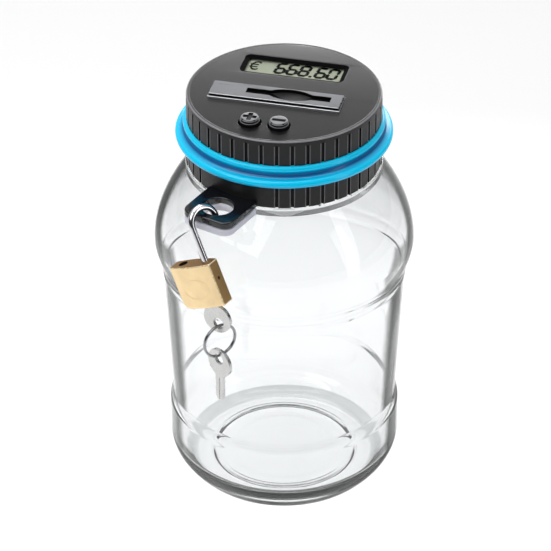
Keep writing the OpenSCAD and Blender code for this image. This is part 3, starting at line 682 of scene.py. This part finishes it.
def side_radius(z, inset, foot, neck):
    """Radius of the jar's side at a height, moved in by inset, from the foot point to the neck point."""
    if z < base_curve_h:
        share = (base_curve_h - z) / (base_curve_h - foot[1])
        return base_r - inset + (foot[0] - base_r + inset) * share ** 1.9
    if z < base_band_z:
        return base_r - inset
    if z < panel_low_z:
        return ease(base_r, panel_low_r, (z - base_band_z) / (panel_low_z - base_band_z)) - inset
    if z < panel_high_z:
        share = (z - panel_low_z) / (panel_high_z - panel_low_z)
        return panel_low_r + (panel_high_r - panel_low_r) * share - inset
    if z < shoulder_z:
        return ease(panel_high_r, shoulder_r, (z - panel_high_z) / (shoulder_z - panel_high_z)) - inset
    share = (z - shoulder_z) / (neck[1] - shoulder_z)
    return shoulder_r - inset + (neck[0] - shoulder_r + inset) * share ** 1.84


def bead(z):
    """Thin raised lines above the plain panel."""
    half_w = 1.1
    height = 0.0
    for middle, rise in [(panel_high_z + 1, 0.35), (panel_high_z + 7, 0.25)]:
        height += rise * math.exp(-(((z - middle) / half_w) ** 2))
    return height


def heights(low):
    """Heights from low to the flange, close together where the side bends."""
    zones = [(base_curve_h, 1.0), (base_band_z, 3), (panel_low_z, 0.4)]
    zones += [(panel_high_z, 4), (shoulder_z, 0.5), (flange_z, 1.2)]
    levels = [low]
    for high, step in zones:
        start = levels[-1]
        count = round((high - start) / step)
        levels += [start + (high - start) * (i + 1) / count for i in range(count)]
    return levels


def pressed_ring(start_r, width, depth, level):
    """Points across a round-topped ring of the jar's floor, from its inner to its outer edge."""
    steps = 12
    points = []
    for i in range(steps + 1):
        share = i / steps
        points.append((start_r + width * share, level + depth * (1 - math.cos(math.tau * share)) / 2))
    return points


def make_jar():
    """Turned glass with its flange, neck and clear lug, frosted on the lug, and darker at the foot with
    painted shade, partly the thick glass's own tint.
    """
    foot = (foot_r, 0)
    neck = (flange_r - glass_edge, flange_z)
    inner_foot = (foot_r - 3, floor_t)
    inner_neck = (neck_in_r, flange_z)
    groove_r = foot_r - foot_ring_w
    flange_high = flange_z + flange_t
    outer_turn = 2.5
    inner_turn = 3
    ring_w = 4.5
    fillet = 0.5
    profile = [(0, 0)]
    profile += pressed_ring(groove_r - ring_w, ring_w, 0.4, 0)
    turn_z = outer_turn
    profile += soft_corner((foot_r - outer_turn, 0), foot, (side_radius(turn_z, 0, foot, neck), turn_z))
    profile += [(side_radius(z, 0, foot, neck) + bead(z), z) for z in heights(turn_z)]
    profile += arc(flange_r - glass_edge, flange_z + glass_edge, glass_edge, -90, 0, 4)
    profile += arc(flange_r - glass_edge, flange_high - glass_edge, glass_edge, 0, 90, 4)
    profile += [(neck_r + fillet, flange_high), (neck_r, flange_high + fillet)]
    profile += arc(neck_r - jar_wall / 2, rim_z - jar_wall / 2, jar_wall / 2, 0, 180, 8)
    turn_z = floor_t + inner_turn
    wall_start = (side_radius(turn_z, jar_wall, inner_foot, inner_neck), turn_z)
    inside = [(0, floor_t)]
    inside += pressed_ring(groove_r - 14, 6, 0.25, floor_t)
    inside += pressed_ring(groove_r - 5, ring_w, 0.7, floor_t)
    inside += soft_corner((inner_foot[0] - 2 * inner_turn, floor_t), inner_foot, wall_start)
    inside += [(side_radius(z, jar_wall, inner_foot, inner_neck), z) for z in heights(turn_z)]
    profile += reversed(inside)
    jar = lathe("jar_glass", profile, 160)
    outline = [lug_outline(neck_r + 1), circle(lug_hole_reach, 0, lug_hole_d / 2)]
    lug_place = at_lug @ move(0, 0, flange_z + flange_t / 2)
    lug = plate("jar_lug", outline, flange_t - 0.02, glass_edge, lug_place)
    combine(jar, lug, "UNION")
    dress(jar, "jar", clear.material, "clear", "jar", sharp=40)
    add_materials(jar, frosted.material, foot_painted_shade_glass.material)
    # Faces round the foot get the darker glass of painted shade, and the lug's faces get the frosted glass
    for face in jar.data.polygons:
        reach = face.center.xy.length / MM
        z = face.center.z / MM
        if reach > foot_r - 0.5 and z < foot_painted_shade_z:
            face.material_index = 2
        if reach > flange_r + 1.5 and z > flange_z - 0.1:
            face.material_index = 1
    jar.visible_shadow = False
    jar.visible_diffuse = False


make_jar()


# Lid
def make_skirt():
    """Skirt with its grip grooves, as a closed ring under the top plate."""
    seat_r = lid_r - ring_seat
    edge = 1
    grip_z = lid_top_z - 2.2
    # Rows from the top plate down the outside and up the inside, as (radius, height, share of a groove's
    # depth), where a share of 2 is a full groove of the lower band
    rows = [(lid_top_r - 0.9, lid_top_z - 0.02, 0)]
    rows += [(r, z, 0) for r, z in reversed(arc(lid_r - edge, lid_top_z - edge, edge, 0, 90, 5))]
    rows += [(lid_r, grip_z, 0), (lid_r, grip_z - 0.4, 0.75), (lid_r, grip_z - 1, 1)]
    rows += [(lid_r, ring_high_z - 0.2, 1), (seat_r, ring_high_z - 0.4, 0), (seat_r, ring_low_z + 0.4, 0)]
    rows += [(lid_r, ring_low_z + 0.2, 2), (lid_r, lid_low_z + 0.6, 2)]
    rows += [(lid_r - 0.2, lid_low_z + 0.15, 2), (lid_r - 0.5, lid_low_z, 2), (skirt_in_r, lid_low_z, 0)]
    rows += [(skirt_in_r, lid_under_z - 0.2, 0), (lid_top_r - 1.6, lid_top_z - 0.4, 0)]
    pitch = 360 / grip_count
    beside_lug = math.degrees(math.asin(lug_w / 2 / lid_r)) + pitch / 2
    # Steps across one groove and the flat beside it, as (share of the groove's depth, offset)
    across = [(0, -3.4), (0, -2.1), (0, -1.25), (-0.15, -1.0), (0, -0.75), (0.9, -0.62), (1, 0)]
    across += [(0.9, 0.62), (0, 0.75), (-0.15, 1.0), (0, 1.25), (0, 2.1)]
    loops = []
    for i in range(grip_count):
        away = abs((i * pitch - lug_turn + 540) % 360 - 180)
        for share, offset in across:
            a = math.radians(i * pitch) + offset / lid_r
            loop = []
            for r, z, depth in rows:
                low_band = depth > 1
                cut = 0 if low_band and away < beside_lug else min(depth, 1) * share * grip_depth
                loop.append(((r - cut) * math.cos(a), (r - cut) * math.sin(a), z))
            loops.append(loop)
    skirt = loft("lid_skirt", loops, ring=True)
    dress(skirt, "lid", skirt_black.material, "lid_black", "lid_shell", sharp=50)
    add_materials(skirt, recess_painted_shade.material, lip_painted_highlight.material, rim_painted_highlight.material)
    # Skirt faces: groove floors get painted shade, and groove lips and the rounded rim get painted
    # highlights
    for face in skirt.data.polygons:
        reach = face.center.xy.length / MM
        upright = abs(face.normal.z) < 0.3
        beyond_top = face.center.z / MM > grip_z
        if upright and seat_r + 0.05 < reach < lid_r - 0.2 and not beyond_top:
            face.material_index = 1
        elif upright and reach > lid_r + 0.03:
            face.material_index = 2
        elif beyond_top and 0.25 < face.normal.z < 0.9:
            face.material_index = 3


def make_lid_top():
    """Top plate with its openings, the sloped walls of the display window and the black lug."""
    window_corner = 3
    holes = [rounded_box(display_x, display_y, display_w, display_h, window_corner)]
    holes.append(rounded_box(slot_x, slot_y, slot_l + 4.6, 2 * dish_r + 0.6, 0.5))
    for x in (plus_x, minus_x):
        holes.append(circle(x, button_y, button_d / 2 + button_gap))
    outlines = [circle(0, 0, lid_top_r - 0.6, 160)] + holes
    middle = (lid_top_z + lid_under_z) / 2
    top = plate("lid_top", outlines, lid_top_t, 0.25, move(0, 0, middle))
    dress(top, "lid", lid_black.material, "lid_black", "lid_shell", sharp=50)
    sill_z = lid_top_z - window_t
    steps = [(1.2, sill_z + 0.03), (1.2, lid_top_z - 0.4), (-0.05, lid_top_z - 0.3)]
    steps += [(-2 * window_slope, sill_z + 0.15), (-2 * window_slope, sill_z + 0.03)]
    loops = []
    for grow, z in steps:
        corner = max(0.8, window_corner + grow / 2)
        outline = rounded_box(display_x, display_y, display_w + grow, display_h + grow, corner)
        loops.append(at_height(outline, z))
    # The window's sloped walls carry painted shade
    dress(loft("window_frame", loops, ring=True), "lid", window_wall_painted_shade.material, "lid_black")
    outlines = [lug_outline(skirt_in_r + 1), circle(lug_hole_reach, 0, lug_hole_d / 2)]
    lug = plate("lid_lug", outlines, lug_t, 0.7, at_lug @ move(0, 0, lid_low_z + lug_t / 2))
    dress(lug, "lid", gloss_black.material, "lid_black", sharp=50)


def make_accent_ring():
    """Blue ring: a wide lower flange, a hollow and a small upper bead."""
    low_bead = 2
    high_bead = 1.6
    inner = lid_r - ring_seat
    hollow = (bead_r - 1.3, ring_low_z + 4.3)
    upper = arc(bead_r - high_bead, ring_high_z - high_bead, high_bead, -35, 90, 10)
    profile = [(inner, ring_low_z)]
    profile += arc(ring_r - low_bead, ring_low_z + low_bead, low_bead, -90, 70, 14)
    profile += soft_corner(profile[-1], hollow, upper[0])[1:]
    profile += upper
    profile.append((inner, ring_high_z))
    dress(lathe("blue_ring", profile, 160), "lid", ring_blue.material, "blue", "accent_ring", sharp=60)


make_skirt()
make_lid_top()
make_accent_ring()


# Coin slot
def slot_outline(grow=0.0):
    """The slot joined with the spindle-shaped finger dish across it."""
    half_l = slot_l / 2 + grow
    half_w = slot_w / 2 + grow
    middle = slot_x + 1
    big_r = ((dish_l / 2) ** 2 + dish_r ** 2) / (2 * dish_r) + grow
    drop = big_r - dish_r - grow
    meet = math.degrees(math.acos((half_w + drop) / big_r))
    upper = arc(middle, slot_y - drop, big_r, 90 - meet, 90 + meet, 20)
    lower = arc(middle, slot_y + drop, big_r, 270 - meet, 270 + meet, 20)
    ends = [(slot_x + half_l, slot_y + half_w), (slot_x - half_l, slot_y + half_w)]
    ends += [(slot_x - half_l, slot_y - half_w), (slot_x + half_l, slot_y - half_w)]
    return [ends[3], ends[0]] + upper + [ends[1], ends[2]] + lower


def plate_ring(front, back, side, z):
    """Outline of the slot plate at a height, moved in at its front, its back and its two sides."""
    low = plate_y - plate_w / 2 + front
    high = plate_y + plate_w / 2 - back
    return at_height(rounded_box(plate_x, (low + high) / 2, plate_l - 2 * side, high - low, 0.5, 4), z)


def make_slot_plate():
    """Metal plate with a thin lip, cut by the slot."""
    top_z = lid_top_z + plate_t
    lip_z = lid_top_z + 0.55
    loops = [plate_ring(0, 0, 0, lid_top_z + 0.02), plate_ring(0.1, 0.05, 0.05, lip_z - 0.1)]
    loops += [plate_ring(0.3, 0.15, 0.15, lip_z), plate_ring(1.0, 0.35, 0.45, lip_z)]
    loops += [plate_ring(1.05, 0.4, 0.5, top_z - 0.3), plate_ring(1.3, 0.6, 0.7, top_z)]
    slab = loft("slot_plate_metal", loops)
    cutter = loft("slot_cutter", [at_height(slot_outline(), z) for z in (lid_top_z - 1, top_z + 1)])
    combine(slab, cutter, "DIFFERENCE")
    dress(slab, "lid", plate_grey, "plate", "slot_plate", sharp=40)
    add_materials(slab, recess_painted_shade.material, plate_edge_painted_highlight)
    # The plate's upright flank gets painted shade and its sloped edges get painted highlight
    for face in slab.data.polygons:
        flank = lip_z * MM - 1e-5 < face.center.z < (top_z - 0.25) * MM and abs(face.normal.z) < 0.5
        if flank:
            face.material_index = 1
        elif 0.2 < face.normal.z < 0.97:
            face.material_index = 2


make_slot_plate()


# Display
def digit_bars(on, w, h, bar):
    """Outlines of the lit bars of a seven-bar digit, with pointed ends."""
    gap = 0.12
    places = [(0, h / 2), (w / 2, h / 4), (w / 2, -h / 4), (0, -h / 2)]
    places += [(-w / 2, -h / 4), (-w / 2, h / 4), (0, 0)]
    bars = []
    for i, (x, y) in enumerate(places):
        if not on[i]:
            continue
        level = i in (0, 3, 6)
        length = (w if level else h / 2) / 2 - gap
        half = bar * (0.6 if level else 0.5)
        flank = length - bar * 0.45
        along = [(-length, 0), (-flank, -half), (flank, -half), (length, 0), (flank, half), (-flank, half)]
        if level:
            bars.append([(x + u, y + v) for u, v in along])
        else:
            bars.append([(x - v, y + u) for u, v in along])
    return bars


def make_digits():
    """Amount on the display, with a currency sign before it."""
    zero = (1, 1, 1, 1, 1, 1, 0)
    six = (1, 0, 1, 1, 1, 1, 1)
    eight = (1, 1, 1, 1, 1, 1, 1)
    w = 4.1
    h = 8.9
    bar = 1.5
    pitch = 5.7
    point_gap = 2.4
    right_margin = 4
    lean = 0.12
    shown = [six, six, eight, six, zero]
    point_after = len(shown) - 3
    row_shift = 1.9
    row_y = display_y + row_shift
    left = display_x + display_w / 2 - right_margin - len(shown) * pitch - point_gap
    low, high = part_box("lcd_segments")
    outlines = []
    for i, on in enumerate(shown):
        for outline in digit_bars(on, w, h, bar):
            middle_x = left + (i + 0.5) * pitch + (point_gap if i > point_after else 0)
            outlines.append([(middle_x + x + lean * y, row_y + y) for x, y in outline])
    point_x = left + (point_after + 1) * pitch + point_gap / 2 - lean * h / 2
    outlines.append(rounded_box(point_x, row_y - h / 2, bar, bar, 0.2, 2))
    sign_x = left - 1.62 * pitch
    sign_w = 5.4
    sign_h = h * 0.95
    sign_bar = 1.25
    stroke_w = 0.95
    stroke_off = 1.1
    narrow = sign_w / sign_h
    curl = arc(0, 0, sign_h / 2, 50, 310, 24)
    curl += reversed(arc(0, 0, sign_h / 2 - sign_bar, 46, 314, 24))
    outlines.append([(sign_x + narrow * x + lean * y, row_y + y) for x, y in curl])
    strokes = []
    for y in (-stroke_off, stroke_off):
        stroke_x = sign_x - 0.22 * sign_w + lean * y
        strokes.append(rounded_box(stroke_x, row_y + y, 0.75 * sign_w, stroke_w, 0.1, 2))
    thick = (high.z - low.z) / MM
    middle = (high.z + low.z) / 2 / MM
    digits = plate("lcd_digits", outlines, thick, 0.01, move(0, 0, middle))
    dress(digits, "lid", lcd_ink.material, "ink", "lcd_segments")
    strokes = plate("lcd_strokes", strokes, thick - 0.02, 0.01, move(0, 0, middle))
    dress(strokes, "lid", lcd_ink.material, "ink")


make_digits()


# Buttons
def make_button(name, node, x, upright):
    """Stepped round button on a hidden flange, with a plus or a minus sunk into its top."""
    top_z = lid_top_z + button_rise
    low_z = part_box(node)[0].z / MM
    high_z = low_z + 1
    r = button_d / 2
    hidden_r = r + button_gap + 0.9
    step_z = lid_top_z + 1.35
    step_r = 0.25
    crown_r = 0.3
    mark_l = button_d * 0.7
    mark_w = 2.2
    mark_depth = 0.45
    profile = [(0, low_z), (hidden_r, low_z), (hidden_r, high_z), (r, high_z)]
    profile += arc(r - step_r, step_z - step_r, step_r, 0, 90, 3)
    profile += [(r - 0.35, step_z)]
    profile += arc(r - 0.5, top_z - 0.75, 0.2, 0, 90, 3)
    profile += [(r - 0.6, top_z - 0.45)]
    profile += arc(r - 0.85, top_z - crown_r, crown_r, 0, 90, 4)
    profile += [(r / 2, top_z), (0, top_z)]
    button = lathe(name, profile, 64)
    place_mesh(button, move(x, button_y, 0))
    bars = [(mark_l, mark_w)] + ([(mark_w, mark_l)] if upright else [])
    for w, h in bars:
        outline = rounded_box(x, button_y, w, h, 0.3, 3)
        mark = loft("mark", [at_height(outline, z) for z in (top_z - mark_depth, top_z + 1)])
        combine(button, mark, "DIFFERENCE")
    dress(button, node, button_black.material, "button", node, sharp=40)
    add_materials(button, button_painted_sheen_grey.material, recess_painted_shade.material)
    # The top and the rounded edges get painted sheen, and the sunk mark gets painted shade
    for face in button.data.polygons:
        beside = max(abs(face.center.x / MM - x), abs(face.center.y / MM - button_y))
        in_mark = face.center.z < (top_z - 0.05) * MM and beside < mark_l / 2 + 0.02
        if face.center.z > (top_z - 0.25) * MM and not in_mark:
            face.material_index = 1
        elif in_mark and face.center.z > (top_z - 0.6) * MM:
            face.material_index = 2
        elif 0.2 < face.normal.z < 0.97 and face.center.z > lid_top_z * MM:
            face.material_index = 1


make_button("plus_key", "plus_button", plus_x, True)
make_button("minus_key", "minus_button", minus_x, False)


# Padlock
def bulge(y):
    """Half thickness of the padlock's body at a distance from its middle."""
    sag = (body_t - body_end_t) / 2
    r = ((body_w / 2) ** 2 + sag ** 2) / (2 * sag)
    return body_t / 2 - r + math.sqrt(r * r - y * y)


def body_outline(inset, shorter=0.0):
    """Body seen from above, with bulged faces, moved in by inset and shortened at its toe end."""
    corner = 0.7
    high = body_w / 2 - inset
    low = shorter - high
    steps = 24
    face = []
    for i in range(steps + 1):
        y = low + corner + (high - low - 2 * corner) * i / steps
        face.append((bulge(y) - inset, y))
    low_end = arc(face[0][0] - corner, low + corner, corner, -90, 0, 4)[:-1]
    high_end = arc(face[-1][0] - corner, high - corner, corner, 0, 90, 4)[1:]
    front = low_end + face + high_end
    back = [(-x, y) for x, y in reversed(front)]
    return [(x, y + body_mid_y) for x, y in front + back]


def make_padlock():
    """Brass body with its bores and the raised oval on its face."""
    edge = 0.7
    low_corner = 4
    toe_hole_r = wire_r + 0.6
    toe_hole_l = toe_in + 0.5
    loops = []
    for angle in (0, 15, 30, 45, 60, 75, 90):
        a = math.radians(angle)
        rise = low_corner * (1 - math.cos(a))
        inset = edge * (1 - math.sqrt(1 - max(0, 1 - rise / edge) ** 2))
        loops.append(at_height(body_outline(inset, low_corner * (1 - math.sin(a))), -body_h + rise))
    for angle in (90, 60, 30, 0):
        a = math.radians(angle)
        loops.append(at_height(body_outline(edge * (1 - math.sin(a))), -edge * (1 - math.cos(a))))
    body = loft("padlock_case", loops)
    bore(body, toe_hole_r, -toe_hole_l, 1, move(0, -leg_gap, 0))
    bore(body, wire_r + bore_fit, -leg_bore_l, 1, move(0, 0, 0))
    bore(body, side_pin_r, -1, 2, move(0, leg_end - 1, -side_pin_drop) @ turn(-90, "X"), 32)
    bore(body, plug_bore_r, -1, plug_bore_l, move(0, plug_y, -body_h))
    place_mesh(body, at_body)
    dress(body, "padlock_body", brass.material, "brass", "padlock_body", sharp=40)
    add_materials(body, bore_painted_shade.material, brass_edge_painted_highlight.material, brass_end_painted_shade.material, brass_top_painted_shade.material)
    inverse = at_body.inverted()
    # The toe hole gets painted shade, the edges get painted highlight, and the ends and top get painted
    # shade
    for face in body.data.polygons:
        here = inverse @ (face.center / MM)
        aim = inverse.to_3x3() @ face.normal
        toe = math.hypot(here.x, here.y + leg_gap) < toe_hole_r + 0.05 and here.z < -0.3
        top_edge = 0.2 < aim.z < 0.9 and here.z > -edge
        side_edge = 0.3 < abs(aim.x) < 0.92 and abs(aim.y) > 0.35
        if toe:
            face.material_index = 1
        elif top_edge or side_edge:
            face.material_index = 2
        elif abs(aim.y) > 0.9:
            face.material_index = 3
        elif aim.z > 0.9:
            face.material_index = 4
    oval_half_l = 7.4
    oval_half_h = 4.9
    oval_z = -body_h * 0.54
    oval_sink = 0.24
    steps = 48
    path = []
    for i in range(steps):
        a = math.tau * i / steps
        y = oval_half_l * math.cos(a)
        path.append(Vector((bulge(y) - oval_sink, y + body_mid_y, oval_z + oval_half_h * math.sin(a))))
    oval = ring_tube("padlock_oval", path, 0.3)
    dress(place_mesh(oval, at_body), "padlock_body", brass.material, "brass")


def make_lock_spring():
    """Spring in the long leg's bore, which the leg presses flat as the padlock closes."""
    steps = spring_turns * 12
    start_z = spring_wire_r + bore_fit - leg_bore_l
    rise = spring_l - 2 * (spring_wire_r + bore_fit)
    path = []
    for i in range(steps + 1):
        a = math.tau * spring_turns * i / steps
        path.append((spring_r * math.cos(a), spring_r * math.sin(a), start_z + rise * i / steps))
    spring = place_mesh(tube("lock_spring", path, spring_wire_r, 8, 0.05), at_body)
    dress(spring, "shackle_spring", steel, "steel", "shackle_spring", sharp=60)
    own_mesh(spring)


def make_shackle():
    """Bent wire with a long leg in the body and a short free toe."""
    path = [(bend_r, 0, -leg_out - leg_in), (bend_r, 0, -leg_out), (bend_r, 0, -leg_out / 2)]
    path += [(x, 0, z) for x, z in arc(0, 0, bend_r, 0, 180, 32)]
    path += [(-bend_r, 0, -toe_l / 2), (-bend_r, 0, -toe_l)]
    wire = tube("shackle_wire", path, wire_r, 32, 0.5)
    place_mesh(wire, at_shackle @ move(0, 0, -bend_in_r) @ turn(-shackle_skew, "Z"))
    dress(wire, "shackle", chrome.material, "chrome", "shackle", sharp=50)


make_padlock()
make_shackle()
make_lock_spring()


# Keys
def key_outline():
    """Flat key: the middle of its bow is at the origin and its blade points along +Y."""
    half = blade_w / 2
    meet = math.degrees(math.asin(half / bow_r))
    tip_y = bow_drop + blade_l
    points = arc(0, 0, bow_r, 90 + meet, 450 - meet, 56)
    first_bite = 3.2
    bite_pitch = 2.4
    for i in range(4):
        size = (1.1 + 0.3 * (i % 2)) / math.sqrt(2) - 0.4
        y = bow_drop + first_bite + bite_pitch * i
        points += [(half, y - size), (half - size, y), (half, y + size)]
    points += [(half, tip_y - 2), (0.3, tip_y), (-0.9, tip_y), (-half, tip_y - 2)]
    return points


def make_key(name, body, node, place):
    """Flat key with a hole in its bow and a groove along each side of its blade."""
    outlines = [key_outline(), circle(0, -bow_hole_off, bow_hole_d / 2, 40)]
    key = plate(name, outlines, key_t, 0.22)
    groove_w = 0.9
    groove_depth = 0.3
    outline = rounded_box(-0.5, bow_drop + blade_l / 2 + 0.5, groove_w, blade_l, 0.3, 3)
    for face_z in (-key_t / 2, key_t / 2):
        levels = (face_z - groove_depth, face_z + groove_depth)
        combine(key, loft("groove", [at_height(outline, z) for z in levels]), "DIFFERENCE")
    place_mesh(key, place @ turn(90, "Z") @ turn(90, "X"))
    dress(key, body, nickel.material, "key", node, sharp=40)


def hang(point, degrees):
    """Place of a hanging piece: at a point, and turned about the upright from the lug's direction."""
    return at_lug @ move(*(at_lug.inverted() @ point)) @ turn(degrees, "Z")


def make_key_ring():
    """Split ring of nearly two turns of wire."""
    turns = 2
    steps = 48
    count = turns * steps - 4
    first_angle = -1.2
    shown_r = key_ring_wire * 0.59
    step = key_ring_wire * 0.7
    path_r = key_ring_r - 0.1
    path = []
    for i in range(count):
        a = math.tau * i / steps + first_angle
        path.append((path_r * math.cos(a), path_r * math.sin(a), step * (i / count - 0.5)))
    ring = tube("split_ring", path, shown_r, 12, 0.15)
    place_mesh(ring, hang(key_ring_mid, key_ring_turn) @ turn(90, "X"))
    dress(ring, "key_ring", ring_steel.material, "chrome", "key_ring", sharp=60)


make_key("lock_key", "lock_plug", "key_in_lock", at_key)
spare_place = hang(spare_hole_at, spare_turn) @ move(0, 0, -bow_hole_off) @ turn(180, "X")
make_key("ring_key", "spare_key", "spare_key", spare_place)
make_key_ring()


# Floor, light and camera
def make_floor():
    """Plain pale floor, a little under the foot."""
    half = 3.0
    z = -floor_drop * MM
    mesh = bpy.data.meshes.new("floor")
    corners = [(-half, -half, z), (half, -half, z), (half, half, z), (-half, half, z)]
    mesh.from_pydata(corners, [], [(0, 1, 2, 3)])
    floor = bpy.data.objects.new("floor", mesh)
    bpy.context.scene.collection.objects.link(floor)
    pale = Finish("floor_pale", tone(247, 247, 247), 0.3, Specular_IOR_Level=0.4)
    pale.mottle(3, 0.005)
    floor.data.materials.append(pale.material)


def add_light(name, place, aim, width, height, power, through_glass=True):
    """Soft rectangular light, which glass may be kept from letting through."""
    data = bpy.data.lights.new(name, "AREA")
    data.shape = "RECTANGLE"
    data.size = width
    data.size_y = height
    data.energy = power
    light = bpy.data.objects.new(name, data)
    light.location = place
    light.rotation_euler = (Vector(aim) - Vector(place)).to_track_quat("-Z", "Y").to_euler()
    light.visible_camera = False
    light.visible_transmission = through_glass
    bpy.context.scene.collection.objects.link(light)


def make_world():
    """Pale surroundings, brightest overhead and behind the object."""
    world = bpy.data.worlds.new("studio")
    bpy.context.scene.world = world
    world.use_nodes = True
    nodes = world.node_tree.nodes
    links = world.node_tree.links
    place = nodes.new("ShaderNodeTexCoord")
    lean = nodes.new("ShaderNodeVectorMath")
    lean.operation = "DOT_PRODUCT"
    lean.inputs[1].default_value = Vector((-0.15, 0.3, 0.95)).normalized()
    ramp = nodes.new("ShaderNodeValToRGB")
    fill_ramp(ramp, [(0.1, (0.06, 0.06, 0.065, 1)), (0.85, (1, 1, 1, 1))])
    links.new(place.outputs["Generated"], lean.inputs[0])
    links.new(lean.outputs["Value"], ramp.inputs["Fac"])
    links.new(ramp.outputs["Color"], nodes["Background"].inputs["Color"])
    nodes["Background"].inputs["Strength"].default_value = 0.72


def make_camera():
    """Long lens, fitted to the object's outline, with its focal length and shift in picture pixels."""
    azimuth = math.radians(13.3)
    tilt = math.radians(33.53)
    away = 1.350
    height = 1.0008
    picture_px = 551
    focal_px = 3341
    shift_px = -8.7
    sensor = 36
    data = bpy.data.cameras.new("camera")
    data.sensor_width = sensor
    data.lens = sensor * focal_px / picture_px
    data.shift_x = shift_px / picture_px
    data.clip_start = 0.05
    camera = bpy.data.objects.new("camera", data)
    camera.location = (away * math.sin(azimuth), -away * math.cos(azimuth), height)
    camera.rotation_euler = (math.pi / 2 - tilt, 0, azimuth)
    bpy.context.scene.collection.objects.link(camera)
    bpy.context.scene.camera = camera


make_floor()
make_world()
add_light("top_softbox", (-0.2, 0.25, 1.4), (0, 0.15, 0), 1.2, 1.2, 10.5)
add_light("back_strip", (-0.02, 0.26, 0.285), (0.01, 0.02, 0.21), 0.3, 0.07, 0.5, through_glass=False)
add_light("front_softbox", (-0.5, -0.75, 1.1), (0, 0, 0.15), 0.9, 0.7, 5.5)
add_light("right_strip", (1.0, -0.3, 0.5), (0, 0, 0.12), 0.25, 0.9, 1.6)
make_camera()
bpy.context.scene.view_settings.view_transform = "Standard"
